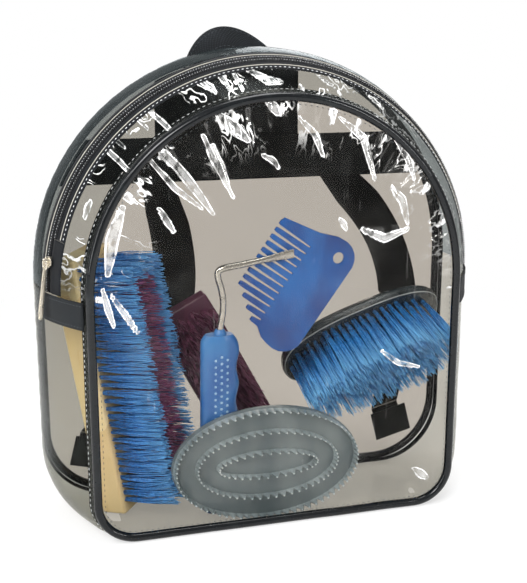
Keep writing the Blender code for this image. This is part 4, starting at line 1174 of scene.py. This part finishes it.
def carrying_loop():
    """Stiff folded webbing bowed over the top, with its two sewn ends."""
    y = HALF_DEPTH + PIPING_RADIUS + GAP + WEB_THICK / 2
    foot = 351.5 * MM

    def bow(angle, reach, rise, lean, power, depth):
        """A point of the bow, with its half-width, height and lean in millimetres."""
        sine = math.sin(angle)
        x = LOOP_X + (reach * math.cos(angle) - lean * sine ** 2) * MM
        return Vector((x, depth, foot + rise * MM * sine ** power))

    rows = []
    for share in steps(0.0, 1.0, 8):
        row = []
        for angle in steps(0.0, math.pi, 72):
            depth = y + 0.3 * MM * math.sin(angle * 3) * share
            row.append(bow(angle, 22 + 19 * share, 13.5 + 17 * share, 8 * share, 1.0 + 0.75 * share, depth))
        rows.append(row)
    piece = sheet("loop_band", rows, WEBBING, "top_loop", "carrying_loop", WEB_THICK, flip=True)
    modifier(piece, "BEVEL", width=0.45 * MM, segments=2, limit_method="ANGLE")
    runs = []
    for reach, rise in ((38.6, 28.0), (24.0, 15.6)):
        angles = steps(math.pi * 0.04, math.pi * 0.96, 59)
        path = [bow(angle, reach, rise, 6.4, 1.6, y - WEB_THICK / 2 - 0.1 * MM) for angle in angles]
        runs.append((path, -BACK))
    stitch("loop_stitches", runs, CLOTH_STITCH, GREY_THREAD, "top_loop")
    low = 328 * MM
    for side, label in SIDES:
        x = LOOP_X + side * 31.5 * MM
        bends = ((SEWN_Y, low), (SEWN_Y, low + 15 * MM), (y, low + 21.6 * MM), (y, foot - 1.0 * MM))
        stations = [(p, RIGHT, BACK) for p in resample([(x, *bend) for bend in bends], 24)]
        name = "loop_end_" + label
        band(name, stations, 19 * MM, "bag", "loop_root_" + label)
        centre = Vector((x, SEWN_Y + WEB_THICK / 2 + 0.1 * MM, low + 8 * MM))
        runs = boxed_cross(centre, RIGHT, UP, BACK, 15 * MM, 12 * MM)
        stitch(name + "_stitches", runs, BOX_STITCH, GREY_THREAD)


class Strap:
    """A slack shoulder strap, as the CAD source bows it; a share of 0 is its top and 1 its foot."""

    def __init__(self, side, face_deg):
        self.top = Vector((side * 75, 59, 268)) * MM
        self.foot = Vector((side * 131, 59, 48)) * MM
        chord = self.foot - self.top
        self.length = chord.length
        self.along = chord.normalized()
        self.across = self.along.cross(BACK).normalized()
        self.bow = self.turned(SLACK_TURN)
        self.face = self.turned(face_deg)

    def turned(self, degrees):
        angle = math.radians(degrees)
        return BACK * math.cos(angle) + self.across * math.sin(angle)

    def centre(self, share):
        slack = STRAP_SLACK * math.sin(math.pi * share)
        return self.top + self.along * (self.length * share) + self.bow * slack

    def station(self, share):
        """The strap's middle, and its directions across and outwards."""
        lean = math.sin(math.pi * share)
        out = (BACK * (1 - lean) + self.face * lean).normalized()
        tangent = (self.centre(share + 0.004) - self.centre(share - 0.004)).normalized()
        across = self.along.cross(out).normalized()
        normal = tangent.cross(across).normalized()
        return self.centre(share), across, -normal if normal.dot(out) < 0 else normal

    def beside(self, share, sideways, up):
        centre, across, out = self.station(share)
        return centre + across * sideways + out * up

    def half_width(self, share):
        return (25 + 11 * min(1.0, share / 0.16)) * MM * 0.97 / 2

    def fullness(self, share):
        """0 where the pad is flat at its ends, 1 where it is full."""
        return clamp(min(share / 0.10, (PAD_END - share) / 0.05))

    def half_height(self, share):
        return (1.6 + 5.2 * self.fullness(share)) * MM / 2


def strap_pad(strap, label):
    """A padded strap: bound edges, two sewn channels and a soft crown on each face."""
    body = "strap_" + label
    name = "shoulder_pad_" + label
    rows = []
    for share in steps(0.0016, 0.598, 90):
        full = strap.fullness(share)
        dimple = 1 - 0.10 * full * max(0.0, math.cos(share * 120)) ** 6
        row = []
        for angle in turns(28):
            flat, crown = soft_square(angle, 0.55, 0.75)
            channel = 1 - 0.30 * hump(abs(flat) - CHANNEL, 0.07) * full
            height = crown * strap.half_height(share) * channel * dimple
            row.append(strap.beside(share, flat * strap.half_width(share), height))
        rows.append(row)
    shape = closed_up(skin(rows, closed=True))
    piece = show(name, shape, PADDING, body, "strap_pad_" + label, sharp=60)
    for way, tag in ((-1, "inner"), (1, "outer")):
        shares = steps(0.006, 0.590, 79)
        line = [strap.beside(s, way * (strap.half_width(s) - 0.4 * MM), 0.0) for s in shares]
        show(name + "_binding_" + tag, tube(line, 1.25 * MM), TAPE, body)
    runs = []
    for way in (-CHANNEL, CHANNEL):
        for face in (1, -1):
            line = []
            for share in steps(0.03, 0.56, 79):
                up = strap.half_height(share) * 0.68 + 0.1 * MM
                line.append(strap.beside(share, way * strap.half_width(share), face * up))
            runs.append((line, strap.station(0.3)[2] * face))
    stitch(name + "_stitches", runs, PAD_STITCH, GREY_THREAD, body)


def ladder_lock(strap, label):
    """A moulded three-bar lock with the webbing threaded over its middle bar."""
    centre, across, out = strap.station(LOCK_PLACE)
    along = across.cross(out).normalized()
    if along.dot(strap.along) < 0:
        along = -along
    place = frame_at(centre, across, along, across.cross(along))
    wide, long, deep = 30.5, 13.2, 3.4
    bars = [rounded_box((wide - 2, 2.0, deep * 0.7), 0.6, 3, (0, 0.4, 0), place)]
    for side in (-1, 1):
        bars.append(rounded_box((2.8, long, deep), 0.6, 3, (side * (wide / 2 - 1.4), 0, 0), place))
        bars.append(rounded_box((wide, 2.4, deep), 0.6, 3, (0, side * (long / 2 - 1.2), 0), place))
    for i in range(6):
        bars.append(rounded_box((1.0, 1.6, 0.8), 0.25, 2, (-9 + 3.6 * i, 0.4, 1.3), place))
    body = "strap_" + label
    show("lock_" + label, join(*bars), LOCK, body, "ladder_lock_" + label)
    loop = []
    for share, lift in (
        (0.590, 0.0), (0.607, 0.6), (0.620, 2.2), (0.632, 2.6), (0.645, 2.0), (0.657, 0.3), (0.672, 0.0),
    ):
        spot, side, normal = strap.station(share)
        loop.append((spot + normal * (lift * MM), side, normal))
    band("lock_webbing_" + label, loop, 24 * MM, body, thickness=1.2 * MM)


def straps():
    """Both shoulder straps, with their sewn ends and a patch at each lower corner of the back."""
    length = 26 * MM
    for (side, label), face_deg in zip(SIDES, (15.0, 45.0)):
        strap = Strap(side, face_deg)
        strap_pad(strap, label)
        ladder_lock(strap, label)
        stations = [strap.station(share) for share in steps(0.668, 0.9985, 60)]
        body, node = "strap_" + label, "strap_web_" + label
        band("strap_webbing_" + label, stations, WEB_WIDTH, body, node, edge=GAP)
        for end, start, along in (("root", strap.top, -strap.along), ("foot", strap.foot, strap.along)):
            line = []
            for run in steps(0.0, 1.0, 24):
                drop = min(1.0, run / 0.75)
                spot = start + along * (length * run)
                spot.y = start.y - (start.y - SEWN_Y) * drop * drop * (3 - 2 * drop)
                line.append((spot, strap.across, BACK))
            name = "strap_%s_%s" % (end, label)
            band(name + "_web", line, WEB_WIDTH, "bag", name)
            centre = start + along * (21 * MM)
            centre.y = SEWN_Y + WEB_THICK / 2 + 0.1 * MM
            runs = boxed_cross(centre, strap.across, along, BACK, 19 * MM, 8 * MM)
            stitch(name + "_stitches", runs, BOX_STITCH, GREY_THREAD)
        centre = strap.foot + strap.along * (length * 0.55)
        centre.y = BACK_Y
        shares = [share - 0.5 for share in steps(0.0, 1.0, 16)]
        line = [(centre + strap.along * (length * share), strap.across, BACK) for share in shares]
        name = "corner_patch_" + label
        band(name, line, 33.6 * MM, "bag", "corner_tab_" + label, CANVAS, SHOWN_CLOTH)
        runs = []
        for way in (-1, 1):
            spot = centre + BACK * (way * 0.7 * MM)
            runs += boxed_cross(spot, strap.across, strap.along, BACK * way, 29.5 * MM, 22 * MM)
        stitch(name + "_stitches", runs, BOX_STITCH, GREY_THREAD)


# Brushes


def inside(point):
    """The point, or the nearest place that is inside the bag's skin and behind the rubber comb."""
    beside_comb = -90 * MM < point.x < 70 * MM and point.z < 115 * MM
    y = clamp(point.y, -31.0 * MM if beside_comb else -49.5 * MM, 48.5 * MM)
    reach = rim(y) - 2.2 * MM
    return Vector((clamp(point.x, -reach, reach), y, point.z))


def bristles(name, face, tufts, length, look, body, nodes, per_tuft, radius, splay, jitter, bend=0.05):
    """Tufts of tapered strands that spread and bend a little, each strand one short line."""
    curve = new_curve(name, bevel_depth=radius, bevel_resolution=0, use_fill_caps=True)
    root_spread, tip_spread = 1.7 * MM, 3.4 * MM
    for x, y in tufts:
        lean_x = random.gauss(0, jitter)
        lean_y = random.gauss(0, jitter)
        for _ in range(per_tuft):
            angle = random.uniform(0, 2 * math.pi)
            away = math.sqrt(random.random())
            spot = Vector((math.cos(angle), math.sin(angle), 0.0)) * away
            root = Vector((x, y, -0.3 * MM)) + spot * root_spread
            reach = length * random.uniform(0.93, 1.0)
            drift_x = reach * (lean_x + random.gauss(0, jitter * 0.5))
            drift_y = reach * (lean_y + random.gauss(0, jitter * 0.5))
            tip = Vector((x * splay + drift_x, y * splay + drift_y, reach)) + spot * tip_spread
            side = Vector((random.gauss(0, bend), random.gauss(0, bend), 0)) * length
            half = (root + tip) / 2 + side * 0.5
            add_spline(curve, [inside(face @ p) for p in (root, half, tip)], False, [1.0, 0.9, 0.62])
    show(name, curve_mesh(curve), look, body, nodes)


def tuft_grid(long, wide, pitch, keep):
    """Places for tufts in staggered rows; keep says which of them there are."""
    found = []
    columns, rows = int(long / pitch), int(wide / pitch)
    for i in range(columns):
        for k in range(rows):
            x = (i - (columns - 1) / 2) * pitch + (pitch / 4 if k % 2 else -pitch / 4)
            y = (k - (rows - 1) / 2) * pitch
            if keep(x, y, i, k, columns, rows):
                found.append((x, y))
    return found


DANDY = Matrix((
    (-0.15643, -0.63487, 0.75661, -0.12427),
    (0.0, -0.76604, -0.64279, 0.01903),
    (0.98769, -0.10055, 0.11984, 0.10908),
    (0, 0, 0, 1),
))
BODY = Matrix((
    (0.95048, -0.25128, 0.18289, 0.09222),
    (0.03488, -0.49851, -0.86618, 0.02801),
    (0.30883, 0.82966, -0.46506, 0.130),
    (0, 0, 0, 1),
))
FACE = Matrix((
    (0.46947, 0.88295, 0.0, -0.022),
    (0.0, 0.0, -1.0, 0.0387),
    (-0.88295, 0.46947, 0.0, 0.08574),
    (0, 0, 0, 1),
))


def block(name, size, width, matrix, look, body, node, groove):
    """A brush block with rounded edges and a finger groove along each side, its size in millimetres."""
    long, wide, deep = (part * MM for part in size)
    bm = bmesh.new()
    bmesh.ops.create_cube(bm, size=1.0)
    bmesh.ops.subdivide_edges(bm, edges=bm.edges[:], cuts=7, use_grid_fill=True)
    bmesh.ops.scale(bm, vec=(long, wide, deep), verts=bm.verts)
    for v in bm.verts:
        end = abs(v.co.x) / (long / 2)
        if abs(v.co.y) / (wide / 2) > 0.98:
            v.co.y *= 1 - groove * hump(v.co.z / deep + 0.05, 0.16) * (1 - end ** 8)
        v.co.y *= 1 - 0.05 * end ** 6
    edges = [e for e in bm.edges if e.calc_face_angle(0.0) > math.radians(50)]
    round_off(bm, edges, width, 5)
    bmesh.ops.transform(bm, matrix=matrix, verts=bm.verts)
    show(name, bm, look, body, node, sharp=40)


def dandy_brush():
    """A wooden block with a border of blue tufts round a maroon middle."""
    body = "dandy_brush"
    turn = tuple(DANDY.to_3x3().transposed().to_euler())
    grain = wood("pale_beech", "pale_wood", (0.70, 0.48, 0.22), (1.00, 0.85, 0.50), (1.0, 1.0, 0.10), turn)
    block("dandy_wood", (211.6, 57.6, 21.8), 3.6 * MM, DANDY, grain, body, "dandy_block", 0.035)
    face = DANDY @ Matrix.Translation((0, 0, 11.0 * MM))
    # Root colours are painted shade and tip colours painted highlights.
    blue = fibre("blue_border_fibre", "blue_fibre",
                 (0.012, 0.045, 0.15), (0.025, 0.18, 0.56), (0.22, 0.58, 0.94), face, 47 * MM)
    maroon = fibre("maroon_centre_fibre", "maroon_fibre",
                   (0.03, 0.006, 0.022), (0.15, 0.03, 0.09), (0.34, 0.14, 0.28), face, 47 * MM)

    def edge(_x, _y, i, k, columns, rows):
        return k < 2 or k > rows - 3 or i < 2 or i > columns - 3

    def centre(*cell):
        return not edge(*cell)

    for name, keep, length, look, node, per_tuft, splay, jitter in (
        ("dandy_blue_tufts", edge, 46.5, blue, "dandy_bristles_outer", 14, 0.985, 0.014),
        ("dandy_maroon_tufts", centre, 45.5, maroon, "dandy_bristles_centre", 9, 0.99, 0.018),
    ):
        tufts = tuft_grid(200 * MM, 56 * MM, TUFT_PITCH, keep)
        bristles(name, face, tufts, length * MM, look, body, node, per_tuft, 0.42 * MM, splay, jitter)


def body_brush():
    """A domed black oval with a padded rim and a pale painted highlight along it, and rows of springy azure
    tufts.
    """
    body = "body_brush"
    long, wide, deep = 147.6 * MM, 67.6 * MM, 16.8 * MM
    power = 2 / 2.6
    bm = bmesh.new()
    bmesh.ops.create_circle(bm, segments=72, radius=1.0, cap_ends=True)
    for v in bm.verts:
        x, y = soft_square(math.atan2(v.co.y, v.co.x), power, power)
        v.co = Vector((long / 2 * x, wide / 2 * y, deep / 2))
    levels = (
        (0.5, 0.94), (0.46, 0.985), (0.30, 1.0), (0.12, 1.0), (0.05, 0.975), (-0.02, 0.985),
        (-0.16, 0.95), (-0.30, 0.86), (-0.40, 0.72), (-0.46, 0.52), (-0.49, 0.30), (-0.5, 0.08),
    )
    before = levels[0][1]
    bmesh.ops.scale(bm, vec=(before, before, 1), verts=bm.verts)
    tops = bm.faces[:]
    for level, scale in levels[1:]:
        moved, tops = raised(bm, tops, 0.0)
        bmesh.ops.scale(bm, vec=(scale / before, scale / before, 1), verts=moved)
        for v in moved:
            v.co.z = level * deep
        before = scale
    show("body_brush_shell", closed_up(bm, BODY), BRUSH_BLACK, body, "body_brush_back", sharp=50)
    # A painted highlight: a pale tube along the rim.
    highlight_bead = []
    for angle in turns(96):
        x, y = soft_square(angle, power, power)
        highlight_bead.append(BODY @ Vector((0.985 * long / 2 * x, 0.985 * wide / 2 * y, deep * 0.46)))
    show("body_brush_rim_highlight", tube(resample(highlight_bead, 160, True), 0.45 * MM, True, 2), BRUSH_RIM_HIGHLIGHT, body)
    face = BODY @ Matrix.Translation((0, 0, deep / 2 + 0.2 * MM))
    # Root colour is painted shade and tip colour a painted highlight.
    azure = fibre("azure_fibre", "blue_fibre",
                  (0.003, 0.026, 0.120), (0.012, 0.210, 0.660), (0.300, 0.700, 1.000), face, 50 * MM)

    def keep(x, y, *_cell):
        return (x / (69 * MM)) ** 2 + (y / (31 * MM)) ** 2 < 1.0

    tufts = tuft_grid(142 * MM, 64 * MM, TUFT_PITCH, keep)
    node = "body_brush_bristles"
    bristles("azure_tufts", face, tufts, 49.5 * MM, azure, body, node, 13, 0.46 * MM, 1.04, 0.022, 0.03)


def face_brush():
    """A small dark block with short maroon tufts."""
    body = "face_brush"
    grain = wood("dark_stained_wood", "dark_wood",
                 (0.07, 0.014, 0.040), (0.13, 0.036, 0.075), (1.0, 1.0, 0.15), gloss=0.4)
    block("face_brush_block", (167.6, 49.6, 14.8), 3.0 * MM, FACE, grain, body, "face_block", 0.03)
    face = FACE @ Matrix.Translation((0, 0, 7.6 * MM))
    # Root colour is painted shade and tip colour a painted highlight.
    maroon = fibre("maroon_face_fibre", "maroon_fibre",
                   (0.06, 0.012, 0.034), (0.18, 0.040, 0.095), (0.32, 0.13, 0.24), face, 22 * MM)

    def keep(_x, _y, i, k, columns, rows):
        return not (i in (0, columns - 1) and k in (0, rows - 1))

    tufts = tuft_grid(158 * MM, 45 * MM, 6.4 * MM, keep)
    bristles("face_tufts", face, tufts, 21.5 * MM, maroon, body, "face_bristles", 8, 0.42 * MM, 1.03, 0.03)


# Hoof pick, mane comb and rubber comb


def hoof_pick():
    """A moulded grip with finger notches and dotted sides, and a bent, flattened steel hook."""
    body = "hoof_pick"
    stand = Vector((-43, -18.06, 1.64)) * MM
    place = Matrix.Translation(stand) @ Matrix.Rotation(math.radians(4), 4, "X")
    half_wide, half_deep, top = 15.3 * MM, 7.3 * MM, 152 * MM
    rows = []
    for share in steps(0.0, 1.0, 88):
        notch = 2.1 * MM * (0.5 - 0.5 * math.cos(share * 2 * math.pi * 5.5))
        low = max(0.0, 1 - share / 0.06)
        high = max(0.0, 1 - (1 - share) / 0.05)
        end = math.sqrt(max(0.0, 1 - 0.55 * low ** 2 - 0.40 * high ** 2))
        row = []
        for angle in turns(36):
            cosine = math.cos(angle)
            x, y = soft_square(angle, 0.85, 0.9)
            waist = 1 - 0.07 * hump(abs(cosine) - 0.45, 0.12)
            cut = notch * max(0.0, cosine)
            row.append(Vector((x * half_wide * end - cut, y * half_deep * end * waist, top * share)))
        rows.append(row)
    show("grip", closed_up(skin(rows, closed=True), place), GRIP, body, "pick_handle", sharp=50)
    dot = Matrix.Diagonal((1.15 * MM, 0.40 * MM, 1.15 * MM, 1.0))
    places = []
    for face in (-1, 1):
        for x in (-4.6 * MM, 0.0, 4.6 * MM):
            y = face * (half_deep * math.sqrt(1 - (x / half_wide) ** 2) - 0.05 * MM)
            for i in range(23):
                z = (14 + 5.4 * i + (2.7 if x == 0 else 0)) * MM
                places.append(place @ Matrix.Translation((x, y, z)) @ dot)
    show("grip_dots", copies("grip_dots", ball(2), places), GRIP_DOT, body)
    rise, reach = 54, 56
    line = [Vector((x, y, 152 + z)) * MM for x, y, z in (
        (0, 0, 0.6), (0, 0, 0.1 * rise), (1.5, 0, 0.22 * rise), (2.5, -1.0, 0.45 * rise),
        (0.5, -2.5, 0.68 * rise), (-3.0, -4.0, 0.86 * rise), (-3.2, -4.5, 0.95 * rise), (0.5, -5.0, rise),
        (0.25 * reach, -5.0, 1.03 * rise), (0.6 * reach, -5.0, 1.09 * rise), (reach, -5.0, 1.15 * rise),
    )]
    for _ in range(3):
        fine = [line[0]]
        for a, b in zip(line, line[1:]):
            fine += [a.lerp(b, 0.25), a.lerp(b, 0.75)]
        line = fine + [line[-1]]
    count = len(line)
    radii = [1.0 - 0.25 * max(0.0, (i / count - 0.75) / 0.25) for i in range(count)]
    mesh = tube(line, 2.6 * MM, resolution=5, radii=radii)
    tip = line[-1]
    for v in mesh.vertices:
        run = v.co.x / (reach * MM)
        near = clamp((run - 0.55) / 0.40)
        height = top + rise * MM * (1.03 + 0.12 * (run - 0.25) / 0.75)
        v.co.z = height + (v.co.z - height) * (1 + 0.75 * near)
        v.co.y = tip.y + (v.co.y - tip.y) * (1 - 0.55 * near)
    mesh.transform(place)
    show("shank", mesh, STEEL, body, "pick_shank")
    collar = [place @ Vector((0, 0, top + h * MM)) for h in (-0.2, 0.4, 1.6, 3.0, 4.2)]
    show("collar", tube(collar, 4.6 * MM, resolution=6, radii=[1.1, 1.12, 1.0, 0.86, 0.66]), GRIP, body)


def comb_outline():
    """Points round the comb: rounded teeth along the top, then the rounded back."""
    pitch, long, deep, back = 6.1 * MM, 84 * MM, 32 * MM, 70 * MM
    tooth, rounding, narrow = pitch * 0.82, 1.4 * MM, 0.5 * MM
    taper = tooth * 0.11
    points = []
    for i in range(13):
        start = i * pitch
        tip = 0.0 if i < 10 else deep * 0.25 * (i - 9)
        if i:
            points += [(start, deep), (start + taper, tip + rounding)]
        else:
            points += [(-pitch * 1.3, deep), (-pitch * 0.35, rounding)]
        points += [(start + taper + narrow, tip), (start + tooth - taper - narrow, tip)]
        points += [(start + tooth - taper, tip + rounding), (start + tooth, deep)]
    points.append((long, deep * 1.25))
    points += [(long * x, back * y) for x, y in (
        (1.02, 0.66), (1.03, 0.75), (1.02, 0.84), (0.985, 0.91), (0.94, 0.965), (0.88, 0.995), (0.0, 1.0),
    )]
    points += [(-pitch * x, back * y) for x, y in (
        (0.9, 0.975), (1.6, 0.93), (2.1, 0.86), (2.3, 0.78), (2.2, 0.66),
    )]
    return points


def mane_comb():
    """A flat moulded comb with a round hanging hole."""
    curve = new_curve(
        "mane_comb", "2D", fill_mode="BOTH", extrude=1.0 * MM, bevel_depth=0.55 * MM, bevel_resolution=2,
        offset=-0.5 * MM,
    )
    add_spline(curve, [(x, -y, 0.0) for x, y in comb_outline()], True)
    hole = 4.6 * MM
    add_spline(curve, [(hole * math.cos(a), -56 * MM + hole * math.sin(a), 0.0) for a in turns(28)], True)
    mesh = curve_mesh(curve)
    mesh.transform(Matrix((
        (-0.58354, -0.81208, 0.0, 0.005),
        (0.0, 0.0, 1.0, -0.03321),
        (-0.81208, 0.58354, 0.0, 0.241),
        (0, 0, 0, 1),
    )))
    mesh.set_sharp_from_angle(angle=math.radians(40))
    show("mane_comb_plate", mesh, BLUE, "comb", "mane_comb")


def oval(inset, height, count):
    """A ring on the rubber comb, in from its edge and forward of its back face, in millimetres."""
    long, wide = 76 - inset, 46 - inset
    return [Vector((long * math.cos(a), -height, wide * math.sin(a))) * MM for a in turns(count)]


def rubber_comb():
    """An oval disc of smoke rubber with a rolled rim and three rings of pointed teeth."""
    body = "rubber_comb"
    place = Matrix.Translation((-8 * MM, -32.2 * MM, 47.25 * MM))
    profile = ((2.0, 0.05), (0.4, 0.0), (0.0, 0.6), (0.0, 2.0), (0.0, 4.6), (0.5, 5.6), (1.6, 6.0))
    rows = [oval(inset, height, 120) for inset, height in profile]
    show("comb_disc", closed_up(skin(rows, closed=True), place), RUBBER, body, "curry_comb", sharp=40)
    tooth = (0.12, 0.55, 1.0, 1.0, 0.55, 0.12)
    section = ((0.0, 0.0), (0.25, 0.5), (0.85, 1.0), (1.9, 1.0), (2.5, 0.5), (2.8, 0.0))
    highlight_bead = Matrix.Diagonal((0.85 * MM, 0.8 * MM, 0.85 * MM, 1.0))
    for ring, inset, teeth in ((1, 0.6, 72), (2, 17.6, 54), (3, 34.6, 34)):
        count = teeth * len(tooth)
        rows = []
        for away, level in section:
            row = oval(inset + away, 0.0, count)
            for i, p in enumerate(row):
                p.y = -(5.4 + (0.4 + 7.9 * tooth[i % len(tooth)]) * level) * MM
            rows.append(row)
        bm = skin(rows, closed=True)
        bmesh.ops.bridge_loops(bm, edges=[e for e in bm.edges if e.is_boundary])
        show("comb_teeth_%d" % ring, closed_up(bm, place), RING_RUBBER, body, sharp=30)
        # Pale balls on the tooth tips: painted highlights.
        tips = oval(inset + 1.4, 13.4, count)[2::len(tooth)]
        places = [place @ Matrix.Translation(p) @ highlight_bead for p in tips]
        show("tooth_tip_highlights_%d" % ring, copies("tips", ball(1), places), TOOTH_HIGHLIGHT, body)


# Floor, light and camera


def stage():
    """A pale floor that fades into a white studio, with soft panels of light."""
    white = (1.0, 1.0, 1.0)
    shape = bmesh.new()
    bmesh.ops.create_grid(shape, x_segments=1, y_segments=1, size=6.0)
    floor = new_object("floor", mesh_of("floor", shape, 0))
    look = Look("pale_floor")
    look.set(Base_Color=(0.90, 0.90, 0.90), Roughness=0.9, Specular_IOR_Level=0.0)
    away = (look.axis("X") ** 2 + look.axis("Y") ** 2) ** 0.5
    glow = look.node("ShaderNodeEmission", {}, {"Color": white, "Strength": 1.0})
    look.surface(look.seen() * (away.rise(0.16, 0.75) * 0.42 + 0.58), look.solid, glow)
    floor.data.materials.append(look.material)

    world = bpy.data.worlds.new("soft_studio")
    bpy.context.scene.world = world
    world.use_nodes = True
    sky = Nodes(world.node_tree, "World Output")
    sky.tree.nodes.remove(sky.tree.nodes["Background"])
    soft = sky.node("ShaderNodeBackground", {}, {"Color": white, "Strength": 0.50})
    bright = sky.node("ShaderNodeBackground", {}, {"Color": white, "Strength": 1.0})
    sky.surface(sky.seen(), soft, bright)

    for name, place, size, power in (
        ("key_panel", (-0.75, -1.1, 1.25), (0.8, 0.6), 24.0),
        ("left_strip", (-1.05, -0.35, 0.55), (0.08, 0.9), 6.0),
        ("right_strip", (0.75, -1.15, 0.60), (0.07, 0.9), 6.0),
        ("top_panel", (0.15, 0.05, 1.45), (0.8, 0.5), 9.0),
        ("rear_panel", (0.7, 1.2, 0.9), (0.9, 0.7), 8.0),
    ):
        data = bpy.data.lights.new(name, "AREA")
        data.shape = "RECTANGLE"
        data.size, data.size_y = size
        data.energy = power
        aim = Vector((0.0, 0.0, 0.18)) - Vector(place)
        turn = aim.to_track_quat("-Z", "Y").to_matrix().to_4x4()
        new_object(name, data).matrix_world = Matrix.Translation(place) @ turn


def camera():
    """The photograph's view: from the front, a little to the left and above."""
    data = bpy.data.cameras.new("camera")
    data.lens = 72.9
    data.sensor_width = 36.0
    data.sensor_fit = "HORIZONTAL"
    seat = new_object("camera", data)
    azimuth, elevation, away = math.radians(-16), math.radians(14), 0.85
    target = Vector((0.0, 0.0, 0.177))
    flat = math.cos(elevation)
    offset = Vector((flat * math.sin(azimuth), -flat * math.cos(azimuth), math.sin(elevation)))
    seat.location = target + offset * away
    seat.rotation_euler = (-offset).to_track_quat("-Z", "Y").to_euler()
    bpy.context.scene.camera = seat


camera()
stage()
for make in (
    front_sheet, rear_sheet, side_sheets, welts, zip_chain, end_tabs, slider, yoke, carrying_loop, straps,
    dandy_brush, body_brush, face_brush, hoof_pick, mane_comb, rubber_comb,
):
    make()
bpy.context.scene.view_settings.view_transform = "Standard"
bpy.context.scene.cycles.transparent_max_bounces = 24


def corners(box):
    return [[float(v) for v in point] for point in box]
